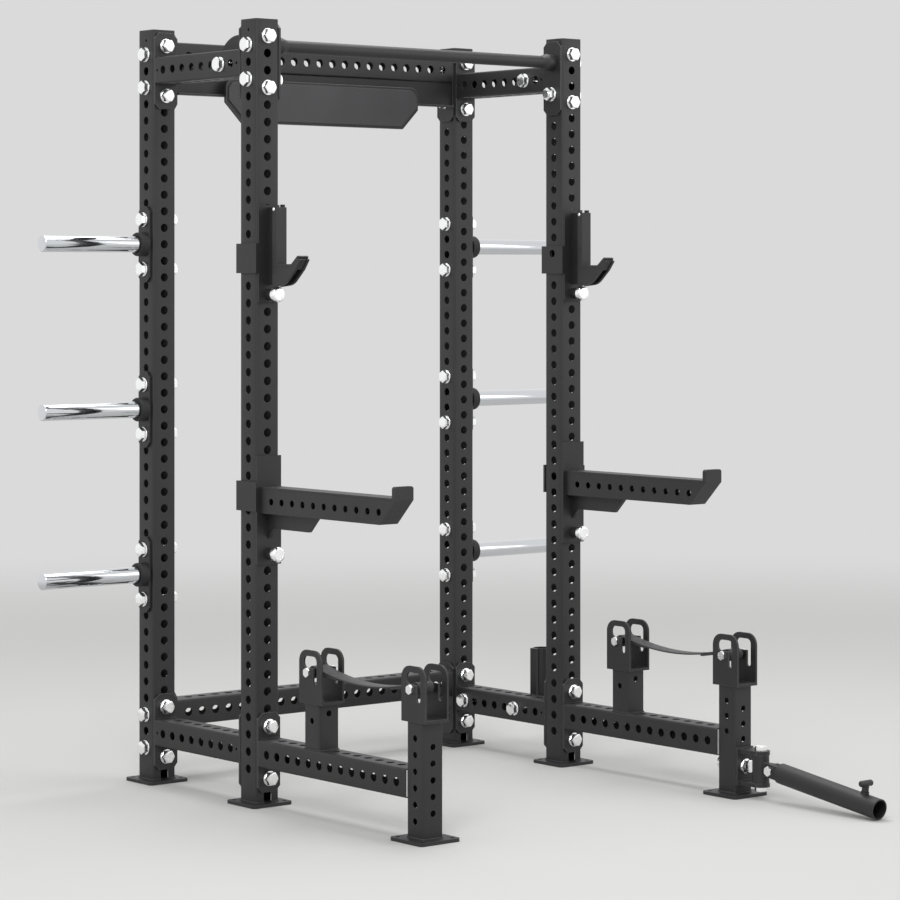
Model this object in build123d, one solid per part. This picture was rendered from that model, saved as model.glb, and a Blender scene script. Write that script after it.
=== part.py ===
"""Half rack of bolted square tube with plate pegs, bar hooks, spotter arms, strap posts and a landmine.

Millimetres. The rack stands on Z = 0 and faces -Y, with +X to its right seen from the front.
The origin is on the floor under the middle of the whole object's bounding box.
"""
from build123d import *
from math import cos, radians, sin, sqrt
import os

# Square tube and the hole grid that everything hangs on
TUBE = 80.0
WALL = 3.0
CORNER = 6.0
PITCH = 50.0
HOLE = 25.0
FRONT_HOLES = 44
SIDE_HOLES = 43
PILOT = 8.0
PILOT_INSET = 32.0
PILOT_STEP = 30.0

# Layout of the frame: upright centre lines, height and front feet
HEIGHT = 2280.0
WIDTH = 1180.0
DEPTH = 530.0
FOOT_SPAN = 765.0
STRAP_SPAN = 465.0
LOW_JOINT = 155.0
TOP_JOINT = 2155.0
FRONT_BOLT = 75.0
SIDE_BOLT = 50.0
SIDE_TUBE_HOLES = 8
CROSS_HOLES = 21
FOOT_HOLES = 13

# Plates
PLATE = 10.0
PLATE_SIDE = 140.0
PLATE_ROUND = 12.0
PLATE_HOLE = 14.0
PLATE_HOLE_INSET = 18.0
CAP = 4.0
FLANGE = 8.0
FLANGE_HEIGHT = 230.0
FLANGE_CHAMFER = 16.0
NOTCH_WIDTH = 26.0
NOTCH_HEIGHT = 37.0

# Hexagon bolts that join the frame
BOLT = 24.0
HEX_FLATS = 36.0
HEAD = 15.0
NUT = 19.0
WASHER_SIDE = 44.0
WASHER = 4.0
BOLT_END = 4.0
HEX_BEVEL = 2.0
THREAD_GAP = 0.2

# Sign plate under the rear top crossmember
SIGN_WIDTH = 740.0
SIGN_HEIGHT = 118.0
SIGN_TOP = 2132.0
SIGN_FACE = 3.0
SIGN_BACK = 12.0
SIGN_BORDER = 8.0
SIGN_SLANT = 62.0
SIGN_ROUND = 30.0
STANDOFF = 20.0
STANDOFF_SIDE = 30.0
STANDOFF_SPAN = 460.0
STANDOFF_DROP = 24.0
RAIL_HEIGHT = 80.0
RAIL_SHEET = 6.0
RAIL_LIP = 16.0
RAIL_END_GAP = 8.0
RAIL_SETBACK = 8.0

# Pull-up bar and the gusset beside it
BAR = 38.0
BAR_BORE_DEPTH = 60.0
BAR_COLLAR = 52.0
BAR_COLLAR_LENGTH = 26.0
BAR_TAPER = 20.0
GUSSET = 6.0
GUSSET_REACH = 226.0
GUSSET_RISE = 52.0
GUSSET_CROWN = 150.0
GUSSET_ROUND = 105.0

# Plate storage pegs
PEG = 50.0
PEG_REACH = 370.0
PEG_LEVELS = (630.0, 1130.0, 1630.0)
PEG_EDGE = 3.0
PEG_ROOT = 49.0
PEG_PLATE_WIDTH = 58.0
COLLAR = 72.0
COLLAR_LENGTH = 28.0

# Strap posts, their brackets and the straps
POST = 70.0
POST_TOP = 325.0
POST_HOLE = 18.0
POST_PITCH = 45.0
POST_HOLES = 6
POST_OUTER_HOLES = 3
POST_FIRST_HOLE = 56.0
REAR_POST_SIDE_HOLE = 277.0
REAR_POST_FRONT_HOLE = 299.0
BRACKET = 6.0
BRACKET_DEPTH = 104.0
BRACKET_HEIGHT = 152.0
BRACKET_BASE = 8.0
BRACKET_ROUND = 34.0
WINDOW_WIDTH = 60.0
WINDOW_HEIGHT = 34.0
WINDOW_LEVEL = 118.0
WINDOW_ROUND = 15.0
SLOT_WIDTH = 16.0
SLOT_BOTTOM = 54.0
SLOT_OFFSET = 22.0
STRAP_PIN = 14.0
STRAP_PIN_LEVEL = 88.0
STRAP_PIN_OFFSET = 10.0
STRAP_PIN_HEAD = 24.0
STRAP_PIN_HEAD_LENGTH = 9.0
ROLLER = 26.0
ROLLER_END_GAP = 1.0
STRAP = 5.0
STRAP_WIDTH = 52.0
STRAP_SAG = 30.0
CURVE_GAP = 0.3

# Upright barbell holder on the lower right side tube
HOLDER = 60.0
HOLDER_BORE = 52.0
HOLDER_TOP = 340.0
HOLDER_BOLT_SPAN = 250.0
HOLDER_PLATE_HEIGHT = 64.0
HOLDER_WEB = 30.0
HOLDER_WELD = 15.0

# Landmine on the right front post
LANDMINE_LEVEL = 90.0
LANDMINE_PLATE_WIDTH = 66.0
LANDMINE_PLATE_HEIGHT = 112.0
EAR = 12.0
EAR_WIDTH = 54.0
EAR_SPACING = 82.0
SWIVEL_REACH = 64.0
SWIVEL_BOLT = 20.0
SWIVEL_FLATS = 32.0
SWIVEL_HEAD = 13.0
BARREL = 50.0
LUG = 20.0
LUG_HEIGHT = 40.0
LUG_REACH = 52.0
HINGE_PIN = 16.0
HINGE_HEAD = 26.0
HINGE_HEAD_LENGTH = 8.0
FORK = 8.0
FORK_GAP = 0.4
SLEEVE = 60.0
SLEEVE_BORE = 52.0
SLEEVE_START = 32.0
SLEEVE_LENGTH = 388.0
SLEEVE_TILT = 8.0
RUNNING_GAP = 0.05
SCREW = 12.0
SCREW_INSET = 60.0
SCREW_BOSS = 24.0
SCREW_BOSS_HEIGHT = 6.0
SCREW_HUB = 20.0
SCREW_HUB_GAP = 1.0
SCREW_NECK = 24.0
T_BAR = 18.0
T_BAR_LENGTH = 48.0
T_BAR_ROUND = 5.0

# Bar hooks on the front uprights
HOOK_PIN_LEVEL = 1480.0
HOOK_PLATE_WIDTH = 74.0
HOOK_PLATE_BELOW = 22.0
HOOK_PLATE_ABOVE = 260.0
HOOK_BACK = 8.0
HOOK_WIDTH = 36.0
HOOK_CHEEK = 8.0
SPINE_DEPTH = 61.0
LINER = 8.0
SEAT_ABOVE_PIN = 88.0
SEAT_LENGTH = 69.0
LIP_RISE = 24.0
LIP_LEAN = 30.0
LIP_CAP = 7.0
LIP_CAP_DROP = 3.0
LIP_THICKNESS = 12.0
LINER_TOE = 4.0
TOE = 20.0
TOE_DROP = 16.0
HEEL = 30.0
HEEL_DROP = 60.0
HEEL_ROUND = 60.0
ROOT_DROP = 66.0
CORE_DROP = 30.0
CORE_TOE = 16.0
WEB_SETBACK = 4.0
NECK = 10.0
NECK_DEPTH = 48.0
WRAP = 6.0
WRAP_GAP = 1.0
WRAP_DEPTH = 90.0
WRAP_BACK = 8.0
WRAP_HEIGHT = 86.0
HOOK_WRAP_ABOVE_PIN = 62.0
HOOK_SIGHT_HOLE = 30

# Spring pins that lock hooks and arms in the holes
LOCK_PIN = 24.0
LOCK_REACH = 17.0
LOCK_STEM = 12.0
LOCK_HOUSING = 34.0
LOCK_HOUSING_LENGTH = 24.0
KNOB = 45.0
KNOB_LENGTH = 24.0
KNOB_GAP = 3.0
KNOB_ROUND = 9.0

# Spotter arms on the front uprights
ARM_PIN_LEVEL = 730.0
ARM_PLATE_WIDTH = 86.0
ARM_PLATE_BELOW = 31.0
ARM_PLATE_ABOVE = 284.0
ARM_WIDTH = 65.0
ARM_HEIGHT = 70.0
ARM_ABOVE_PIN = 119.0
ARM_REACH = 635.0
ARM_HOLE = 20.0
ARM_HOLES = 11
ARM_FIRST_HOLE = 62.0
ARM_LINER = 6.0
STOP = 14.0
STOP_RISE = 38.0
STOP_ROUND = 8.0
BRACE_WIDTH = 12.0
BRACE_HEIGHT = 45.0
BRACE_REACH = 250.0
BRACE_SLANT = 45.0
BRACE_FILLET = 30.0
ARM_WRAP_ABOVE_PIN = 123.0

# Places worked out from the dimensions above
HALF = TUBE / 2
SIDE_X = WIDTH / 2
TILT = radians(SLEEVE_TILT)
SLEEVE_END = SLEEVE_START + SLEEVE_LENGTH
FRONT_REACH = (FOOT_SPAN + POST / 2 + FLANGE + SWIVEL_REACH + LUG_REACH
               + SLEEVE_END * cos(TILT) + SLEEVE / 2 * sin(TILT))
REAR_REACH = DEPTH + PLATE_SIDE / 2
FRONT_Y = (FRONT_REACH - REAR_REACH) / 2
REAR_Y = FRONT_Y + DEPTH
POST_Y = FRONT_Y - FOOT_SPAN
REAR_POST_Y = POST_Y + STRAP_SPAN
FRONT_FACE = FRONT_Y - HALF
SWIVEL_Y = POST_Y - POST / 2 - FLANGE - SWIVEL_REACH
HINGE_Y = SWIVEL_Y - LUG_REACH
SIDE_TUBE = DEPTH - TUBE - 2 * FLANGE
CROSS_TUBE = WIDTH - TUBE - 2 * FLANGE
FOOT_TUBE = FOOT_SPAN - HALF - FLANGE - POST / 2
FRONT_LEVELS = [LOW_JOINT - FRONT_BOLT + PITCH * i for i in range(FRONT_HOLES)]
SIDE_LEVELS = [LOW_JOINT - SIDE_BOLT + PITCH * i for i in range(SIDE_HOLES)]

TO_FRONT = Rot(90, 0, 0)
TO_REAR = Rot(-90, 0, 0)
TO_RIGHT = Rot(0, 90, 0)
SIDES = {"left": -1, "right": 1}

nodes = {}
bolts = []
washers = []
nuts = []


def square_tube(length, side=TUBE):
    """A square tube along +Z, standing on its local XY plane."""
    inner_corner = CORNER - WALL
    section = RectangleRounded(side, side, CORNER)
    section -= RectangleRounded(side - 2 * WALL, side - 2 * WALL, inner_corner)
    return extrude(section, length)


def drills_x(levels, diameter):
    return [Pos(0, 0, z) * TO_RIGHT * Cylinder(diameter / 2, 2 * TUBE) for z in levels]


def drills_y(levels, diameter):
    return [Pos(0, 0, z) * TO_FRONT * Cylinder(diameter / 2, 2 * TUBE) for z in levels]


def row(count, middle):
    """Levels of a row of holes at the grid's pitch, spread about its middle."""
    return [middle + PITCH * (i - (count - 1) / 2) for i in range(count)]


def hex_block(flats, height, bevel=HEX_BEVEL):
    """A hexagonal head or nut on its local XY plane, with its far corners bevelled by a cone."""
    block = extrude(RegularPolygon(flats / 2, 6, major_radius=False), height)
    across = flats / sqrt(3)
    cone = Pos(0, 0, height / 2) * Cylinder(across, height)
    cone = chamfer(cone.edges().sort_by(Axis.Z)[-1], bevel)
    return block & cone


def ring(outer, inner, height):
    return extrude(Circle(outer / 2) - Circle(inner / 2), height)


def fasten(place, grip):
    """A bolt whose head bears on the place's XY plane and whose nut bears at the grip's far end."""
    length = grip + WASHER + NUT + BOLT_END
    shank = Pos(0, 0, -WASHER) * extrude(Circle(BOLT / 2), length + WASHER)
    head = Pos(0, 0, -WASHER) * Rot(180, 0, 0) * hex_block(HEX_FLATS, HEAD)
    bolts.append(place * (shank + head))
    washers.append(place * Pos(0, 0, -WASHER) * ring(WASHER_SIDE, HOLE, WASHER))
    washers.append(place * Pos(0, 0, grip) * ring(WASHER_SIDE, HOLE, WASHER))
    nut = hex_block(HEX_FLATS, NUT) - Cylinder(BOLT / 2 + THREAD_GAP, 3 * NUT)
    nuts.append(place * Pos(0, 0, grip + WASHER) * nut)


def joint_plate(bolt_offset, width=TUBE):
    """An end plate that faces along Y, with one bolt hole above and one below its middle."""
    plate = Box(width, FLANGE, FLANGE_HEIGHT)
    plate = chamfer(plate.edges().filter_by(Axis.Y), FLANGE_CHAMFER)
    return plate - drills_y([-bolt_offset, bolt_offset], HOLE)


def side_profile(points):
    """A flat outline given as distance forward and height, drawn on the plane across X."""
    plane = Plane(origin=(0, 0, 0), x_dir=(0, -1, 0), z_dir=(-1, 0, 0))
    return plane * make_face(Polyline(*points, close=True))


def slab(points, low_x, high_x):
    """A side profile given thickness between two X values."""
    face = side_profile(points)
    return Pos(high_x, 0, 0) * extrude(face, high_x - low_x)


def make_uprights():
    body = Pos(0, 0, PLATE) * square_tube(HEIGHT - PLATE - CAP)
    arch = Pos(0, -HALF, PLATE) * extrude(Rectangle(NOTCH_WIDTH, 2 * CORNER), NOTCH_HEIGHT - NOTCH_WIDTH / 2)
    crown = Pos(0, -HALF, PLATE + NOTCH_HEIGHT - NOTCH_WIDTH / 2) * TO_FRONT
    crown = crown * Cylinder(NOTCH_WIDTH / 2, 2 * CORNER)
    cuts = drills_y(FRONT_LEVELS, HOLE) + drills_x(SIDE_LEVELS, HOLE)
    cuts += drills_x([HEIGHT - PILOT_INSET], PILOT)
    body = body - (cuts + [arch, crown])
    cap = extrude(RectangleRounded(TUBE, TUBE, CORNER), CAP)
    caps = []
    for side, sign in SIDES.items():
        for end, y in (("rear", REAR_Y), ("front", FRONT_Y)):
            nodes[f"upright_{end}_{side}"] = Pos(sign * SIDE_X, y, 0) * body
            caps.append(Pos(sign * SIDE_X, y, HEIGHT - CAP) * cap)
    nodes["upright_caps"] = caps


def make_base_plates():
    plate = extrude(RectangleRounded(PLATE_SIDE, PLATE_SIDE, PLATE_ROUND), PLATE)
    inset = PLATE_SIDE - 2 * PLATE_HOLE_INSET
    plate = plate - [p * Cylinder(PLATE_HOLE / 2, 4 * PLATE) for p in GridLocations(inset, inset, 2, 2)]
    nodes["base_plates"] = [Pos(sign * SIDE_X, y, 0) * plate
                            for sign in SIDES.values() for y in (REAR_Y, FRONT_Y, POST_Y)]


def make_side_tubes():
    """The four tubes that join front and rear uprights, each between two bolted end plates."""
    middle = SIDE_TUBE / 2
    body = square_tube(SIDE_TUBE)
    outer = row(SIDE_TUBE_HOLES, middle)
    body = body - (drills_x(outer, HOLE) + drills_y(row(SIDE_TUBE_HOLES - 1, middle), HOLE)
                   + drills_x([outer[0] - PILOT_STEP, outer[-1] + PILOT_STEP], PILOT))
    plate = joint_plate(FRONT_BOLT)
    plates = []
    for side, sign in SIDES.items():
        x = sign * SIDE_X
        for name, level in (("lower", LOW_JOINT), ("top", TOP_JOINT)):
            start = Pos(x, REAR_Y - HALF - FLANGE, level)
            nodes[f"{name}_side_tube_{side}"] = start * TO_FRONT * body
            plates.append(Pos(x, REAR_Y - HALF - FLANGE / 2, level) * plate)
            plates.append(Pos(x, FRONT_Y + HALF + FLANGE / 2, level) * plate)
            foot_plate = FLANGE if name == "lower" else 0.0
            for offset in (-FRONT_BOLT, FRONT_BOLT):
                rear = Pos(x, REAR_Y - HALF - FLANGE, level + offset)
                fasten(rear * TO_REAR, TUBE + FLANGE)
                front = Pos(x, FRONT_FACE - foot_plate, level + offset)
                fasten(front * TO_REAR, TUBE + FLANGE + foot_plate)
    nodes["side_tube_flanges"] = plates


def make_crossmembers():
    """The rear tubes, on the line of their upper bolts, whose nuts sit inside the tube's ends."""
    middle = CROSS_TUBE / 2
    body = square_tube(CROSS_TUBE)
    body = body - (drills_y(row(CROSS_HOLES, middle), HOLE) + drills_x(row(CROSS_HOLES - 1, middle), HOLE))
    plate = Rot(0, 0, 90) * joint_plate(SIDE_BOLT)
    inner = SIDE_X - HALF
    plates = []
    for name, level in (("bottom", LOW_JOINT), ("top", TOP_JOINT)):
        start = Pos(-CROSS_TUBE / 2, REAR_Y, level + SIDE_BOLT)
        nodes[f"rear_{name}_crossmember"] = start * TO_RIGHT * body
        for sign in SIDES.values():
            plates.append(Pos(sign * (inner - FLANGE / 2), REAR_Y, level) * plate)
            for offset in (-SIDE_BOLT, SIDE_BOLT):
                outside = Pos(sign * (SIDE_X + HALF), REAR_Y, level + offset)
                fasten(outside * Rot(0, -sign * 90, 0), TUBE + FLANGE)
    nodes["crossmember_flanges"] = plates


def sign_outline(margin):
    """The sign's flat outline: rounded upper corners and slanted lower ones."""
    half = SIGN_WIDTH / 2 + margin
    top = margin
    bottom = -SIGN_HEIGHT - margin
    face = make_face(Polyline((-half, top), (half, top), (half, bottom + SIGN_SLANT),
                              (half - SIGN_SLANT, bottom), (SIGN_SLANT - half, bottom),
                              (-half, bottom + SIGN_SLANT), close=True))
    return fillet(face.vertices().sort_by(Axis.Y)[-2:], SIGN_ROUND)


def make_sign():
    """A folded rail under the rear top crossmember, with a bare sign plate stood off in front of it."""
    rail_face = REAR_Y - HALF + RAIL_SETBACK
    top = TOP_JOINT + SIDE_BOLT - HALF
    length = CROSS_TUBE + 2 * FLANGE - 2 * RAIL_END_GAP
    rail = Pos(0, rail_face + RAIL_SHEET / 2, top - RAIL_HEIGHT / 2) * Box(length, RAIL_SHEET, RAIL_HEIGHT)
    lip = Pos(0, rail_face - RAIL_LIP / 2, top - RAIL_HEIGHT + RAIL_SHEET / 2)
    rail += lip * Box(length, RAIL_LIP, RAIL_SHEET)
    nodes["sign_rail"] = rail
    back_face = rail_face - STANDOFF
    upright_plane = Plane(origin=(0, back_face, SIGN_TOP), x_dir=(1, 0, 0), z_dir=(0, -1, 0))
    nodes["sign_backing"] = extrude(upright_plane * sign_outline(SIGN_BORDER), SIGN_BACK)
    face_plane = upright_plane.offset(SIGN_BACK)
    nodes["sign_face"] = extrude(face_plane * sign_outline(0.0), SIGN_FACE)
    spot = SIGN_TOP - STANDOFF_DROP
    nodes["sign_standoffs"] = [Pos(x, rail_face, spot) * TO_FRONT * ring(STANDOFF_SIDE, PILOT, STANDOFF)
                               for x in (-STANDOFF_SPAN / 2, STANDOFF_SPAN / 2)]


def make_pull_up_bar():
    """A round bar with a tapered collar at each end, held by a bolt along its axis at either upright."""
    inner = SIDE_X - HALF
    level = TOP_JOINT + SIDE_BOLT
    length = 2 * (inner - FLANGE)
    collar = [(0, 0), (BAR_COLLAR / 2, 0), (BAR_COLLAR / 2, BAR_COLLAR_LENGTH),
              (BAR / 2, BAR_COLLAR_LENGTH + BAR_TAPER), (0, BAR_COLLAR_LENGTH + BAR_TAPER)]
    collar = revolve(Plane.XZ * make_face(Polyline(*collar, close=True)), Axis.Z)
    bar = extrude(Circle(BAR / 2), length) + collar + Pos(0, 0, length) * Rot(180, 0, 0) * collar
    bore = extrude(Circle(BOLT / 2 + CURVE_GAP), BAR_BORE_DEPTH)
    bar = bar - [bore, Pos(0, 0, length - BAR_BORE_DEPTH) * bore]
    nodes["pull_up_bar"] = Pos(-length / 2, FRONT_Y, level) * TO_RIGHT * bar
    plate = Rot(0, 0, 90) * joint_plate(SIDE_BOLT)
    plates = []
    for sign in SIDES.values():
        plates.append(Pos(sign * (inner - FLANGE / 2), FRONT_Y, TOP_JOINT) * plate)
        turn = Rot(0, -sign * 90, 0)
        fasten(Pos(sign * (SIDE_X + HALF), FRONT_Y, TOP_JOINT - SIDE_BOLT) * turn, TUBE + FLANGE)
        screw_place = Pos(sign * (SIDE_X + HALF), FRONT_Y, level) * turn
        shank = Pos(0, 0, -WASHER) * extrude(Circle(BOLT / 2), TUBE + FLANGE + BAR_BORE_DEPTH - BOLT_END)
        head = Pos(0, 0, -WASHER) * Rot(180, 0, 0) * hex_block(HEX_FLATS, HEAD)
        bolts.append(screw_place * (shank + head))
        washers.append(screw_place * Pos(0, 0, -WASHER) * ring(WASHER_SIDE, HOLE, WASHER))
    nodes["pull_up_bar_flanges"] = plates


def make_gusset():
    """A plate with a rounded crown on the inner face of the top left side tube, beside the bar."""
    root = FRONT_Y + HALF + FLANGE
    inner = -SIDE_X + HALF
    low = TOP_JOINT - HALF
    high = TOP_JOINT + HALF + GUSSET_RISE
    points = [(-root, low), (-root, high), (-root - GUSSET_CROWN, high),
              (-root - GUSSET_REACH, TOP_JOINT + HALF - CORNER), (-root - GUSSET_REACH, low)]
    plate = slab(points, inner, inner + GUSSET)
    crown = plate.edges().filter_by(Axis.X).group_by(Axis.Z)[-1].sort_by(Axis.Y)[-1]
    plate = fillet(crown, GUSSET_ROUND)
    holes_y = side_tube_hole(1)
    plate = plate - Pos(inner, holes_y, TOP_JOINT) * TO_RIGHT * Cylinder(HOLE / 2, 4 * GUSSET)
    nodes["corner_gusset"] = plate
    fasten(Pos(-SIDE_X - HALF, holes_y, TOP_JOINT) * TO_RIGHT, TUBE + GUSSET)
    fasten(Pos(SIDE_X - HALF, holes_y, TOP_JOINT) * TO_RIGHT, TUBE)


def side_tube_hole(number):
    """The Y of a side tube's outer hole, counted back from its front end."""
    return FRONT_Y + DEPTH / 2 + PITCH * (number - (SIDE_TUBE_HOLES - 1) / 2)


def make_feet():
    """The tubes from the front uprights forward to the front posts, closed where they meet the posts."""
    body = square_tube(FOOT_TUBE)
    body += Pos(0, 0, FOOT_TUBE - WALL) * extrude(RectangleRounded(TUBE, TUBE, CORNER), WALL)
    middle = FOOT_TUBE / 2
    body = body - (drills_x(row(FOOT_HOLES, middle), HOLE) + drills_y(row(FOOT_HOLES - 1, middle), HOLE))
    plate = joint_plate(FRONT_BOLT)
    plates = []
    for side, sign in SIDES.items():
        place = Pos(sign * SIDE_X, FRONT_FACE - FLANGE, LOW_JOINT)
        nodes[f"foot_tube_{side}"] = place * TO_FRONT * body
        plates.append(Pos(sign * SIDE_X, FRONT_FACE - FLANGE / 2, LOW_JOINT) * plate)
    nodes["foot_flanges"] = plates


def make_posts():
    """Low posts: the front ones stand on the floor, the rear ones on the foot tubes."""
    levels = [POST_FIRST_HOLE + POST_PITCH * i for i in range(POST_HOLES)]
    between = [z + POST_PITCH / 2 for z in levels[:-1]]
    foot_top = LOW_JOINT + HALF
    rear = Pos(0, 0, foot_top) * square_tube(POST_TOP - foot_top, POST)
    rear = rear - (drills_x([REAR_POST_SIDE_HOLE], POST_HOLE) + drills_y([REAR_POST_FRONT_HOLE], POST_HOLE))
    blank = Pos(0, 0, PLATE) * square_tube(POST_TOP - PLATE, POST)
    blank = blank - drills_x(levels[POST_OUTER_HOLES:], POST_HOLE)
    bracket_top = LANDMINE_LEVEL + LANDMINE_PLATE_HEIGHT / 2
    fronts = {"left": drills_y(between, POST_HOLE),
              "right": drills_y([z for z in between if z > bracket_top], POST_HOLE)
              + drills_y([LANDMINE_LEVEL], HOLE)}
    for side, sign in SIDES.items():
        outer = [Pos(sign * POST / 2, 0, z) * TO_RIGHT * Cylinder(POST_HOLE / 2, POST)
                 for z in levels[:POST_OUTER_HOLES]]
        nodes[f"strap_post_front_{side}"] = Pos(sign * SIDE_X, POST_Y, 0) * (blank - (outer + fronts[side]))
        nodes[f"strap_post_rear_{side}"] = Pos(sign * SIDE_X, REAR_POST_Y, 0) * rear


def bracket_shape():
    """A strap bracket: a base and two tall cheeks, each with a window that runs into a slot."""
    half = BRACKET_DEPTH / 2
    inside = POST / 2
    plane = Plane(origin=(0, 0, 0), x_dir=(0, -1, 0), z_dir=(-1, 0, 0))
    cheek = Pos(0, BRACKET_HEIGHT / 2) * Rectangle(BRACKET_DEPTH, BRACKET_HEIGHT)
    cheek = fillet(cheek.vertices().sort_by(Axis.Y)[-2:], BRACKET_ROUND)
    cheek -= Pos(0, WINDOW_LEVEL) * RectangleRounded(WINDOW_WIDTH, WINDOW_HEIGHT, WINDOW_ROUND)
    slot_height = WINDOW_LEVEL - SLOT_BOTTOM
    slot = Rectangle(SLOT_WIDTH, slot_height - SLOT_WIDTH / 2)
    cheek -= Pos(SLOT_OFFSET, WINDOW_LEVEL - (slot_height - SLOT_WIDTH / 2) / 2) * slot
    cheek -= Pos(SLOT_OFFSET, SLOT_BOTTOM + SLOT_WIDTH / 2) * Circle(SLOT_WIDTH / 2)
    cheek -= Pos(-STRAP_PIN_OFFSET, STRAP_PIN_LEVEL) * Circle(STRAP_PIN / 2 + CURVE_GAP)
    solid = extrude(plane * cheek, BRACKET)
    right = Pos(inside + BRACKET, 0, 0) * solid
    left = Pos(-inside, 0, 0) * solid
    base = Pos(0, 0, BRACKET_BASE / 2) * Box(2 * inside, BRACKET_DEPTH, BRACKET_BASE)
    return left + right + base


def strap_shape():
    """One strap: a loop round each roller and a run that sags between the tops of the loops."""
    loop = ROLLER / 2 + CURVE_GAP
    chord = STRAP_SPAN
    radius = (chord * chord / 4 + STRAP_SAG * STRAP_SAG) / (2 * STRAP_SAG)
    plane = Plane(origin=(0, 0, 0), x_dir=(0, -1, 0), z_dir=(-1, 0, 0))
    band = Pos(chord / 2, loop + radius - STRAP_SAG) * (Circle(radius) - Circle(radius - STRAP))
    band = band & Pos(chord / 2, loop) * Rectangle(chord, 2 * (STRAP_SAG + STRAP))
    rings = [Pos(d, 0) * (Circle(loop + STRAP) - Circle(loop)) for d in (0.0, chord)]
    outline = band + rings
    outline -= [Pos(d, 0) * Circle(loop) for d in (0.0, chord)]
    return Pos(STRAP_WIDTH / 2, 0, 0) * extrude(plane * outline, STRAP_WIDTH)


def make_straps():
    inside = POST / 2
    reach = inside + BRACKET
    bracket = bracket_shape()
    pin = Pos(-reach, 0, 0) * TO_RIGHT * extrude(Circle(STRAP_PIN / 2), 2 * reach)
    head = hex_block(STRAP_PIN_HEAD, STRAP_PIN_HEAD_LENGTH, HEX_BEVEL / 2)
    pin += Pos(reach, 0, 0) * TO_RIGHT * head
    pin += Pos(-reach, 0, 0) * Rot(0, -90, 0) * head
    length = 2 * (inside - ROLLER_END_GAP)
    roller = Pos(-length / 2, 0, 0) * TO_RIGHT * ring(ROLLER, STRAP_PIN + 2 * CURVE_GAP, length)
    strap = strap_shape()
    pins = []
    rollers = []
    for side, sign in SIDES.items():
        x = sign * SIDE_X
        nodes[f"strap_brackets_{side}"] = [Pos(x, y, POST_TOP) * bracket for y in (REAR_POST_Y, POST_Y)]
        level = POST_TOP + STRAP_PIN_LEVEL
        for y in (REAR_POST_Y, POST_Y):
            pins.append(Pos(x, y + STRAP_PIN_OFFSET, level) * pin)
            rollers.append(Pos(x, y + STRAP_PIN_OFFSET, level) * roller)
        nodes[f"strap_{side}"] = Pos(x, REAR_POST_Y + STRAP_PIN_OFFSET, level) * strap
    nodes["strap_pins"] = pins
    nodes["strap_rollers"] = rollers


def make_pegs():
    """Plated pegs on the outer faces of the rear uprights, each on a bolted plate with a rubber collar."""
    length = PEG_REACH - FLANGE
    root = extrude(Circle(PEG_ROOT / 2), COLLAR_LENGTH)
    peg = root + Pos(0, 0, COLLAR_LENGTH) * extrude(Circle(PEG / 2), length - COLLAR_LENGTH)
    peg = chamfer(peg.edges().sort_by(Axis.Z)[-1], PEG_EDGE)
    peg = peg - extrude(Circle(PEG_ROOT / 2 - WALL), length - 2 * WALL)
    collar = ring(COLLAR, PEG_ROOT + 2 * CURVE_GAP, COLLAR_LENGTH)
    collar = chamfer(collar.edges().sort_by(Axis.Z)[-1:], PEG_EDGE)
    plate = Rot(0, 0, 90) * joint_plate(FRONT_BOLT, PEG_PLATE_WIDTH)
    collars = []
    plates = []
    for side, sign in SIDES.items():
        pegs = []
        for level in PEG_LEVELS:
            face = Pos(sign * (SIDE_X + HALF + FLANGE), REAR_Y, level) * Rot(0, sign * 90, 0)
            pegs.append(face * peg)
            collars.append(face * collar)
            plates.append(Pos(sign * (SIDE_X + HALF + FLANGE / 2), REAR_Y, level) * plate)
            first = -SIDE_X - HALF - FLANGE if sign < 0 else SIDE_X - HALF
            for offset in (-FRONT_BOLT, FRONT_BOLT):
                fasten(Pos(first, REAR_Y, level + offset) * TO_RIGHT, TUBE + FLANGE)
        nodes[f"plate_pegs_{side}"] = pegs
    nodes["peg_collars"] = collars
    nodes["peg_flanges"] = plates


def make_barbell_holder():
    """An open upright tube on a plate that is bolted to the outside of the lower right side tube."""
    face = SIDE_X + HALF
    near = side_tube_hole(2)
    far = near + HOLDER_BOLT_SPAN
    middle = (near + far) / 2
    plate = Box(FLANGE, HOLDER_BOLT_SPAN + HOLDER, HOLDER_PLATE_HEIGHT)
    plate = Pos(face + FLANGE / 2, middle, LOW_JOINT) * plate
    for y in (near, far):
        plate -= Pos(face, y, LOW_JOINT) * TO_RIGHT * Cylinder(HOLE / 2, 4 * FLANGE)
    low = LOW_JOINT + HOLDER_PLATE_HEIGHT / 2
    tube = Pos(face + FLANGE + HOLDER / 2, near, low) * ring(HOLDER, HOLDER_BORE, HOLDER_TOP - low)
    floor = Pos(face + FLANGE + HOLDER / 2, near, low - WALL) * extrude(Circle(HOLDER / 2), WALL)
    web = Pos(face + FLANGE / 2, near, (low + HOLDER_TOP) / 2) * Box(FLANGE, HOLDER_WEB, HOLDER_TOP - low)
    root = Pos(face + FLANGE + HOLDER_WELD / 2, near, (low + HOLDER_TOP) / 2)
    weld = root * Box(HOLDER_WELD, HOLDER_WELD, HOLDER_TOP - low)
    weld -= Pos(face + FLANGE + HOLDER / 2, near, 0) * Cylinder(HOLDER_BORE / 2, 4 * HOLDER_TOP)
    nodes["barbell_holder"] = plate + tube + floor + web + weld
    for y in (near, far):
        fasten(Pos(SIDE_X - HALF, y, LOW_JOINT) * TO_RIGHT, TUBE + FLANGE)


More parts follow.
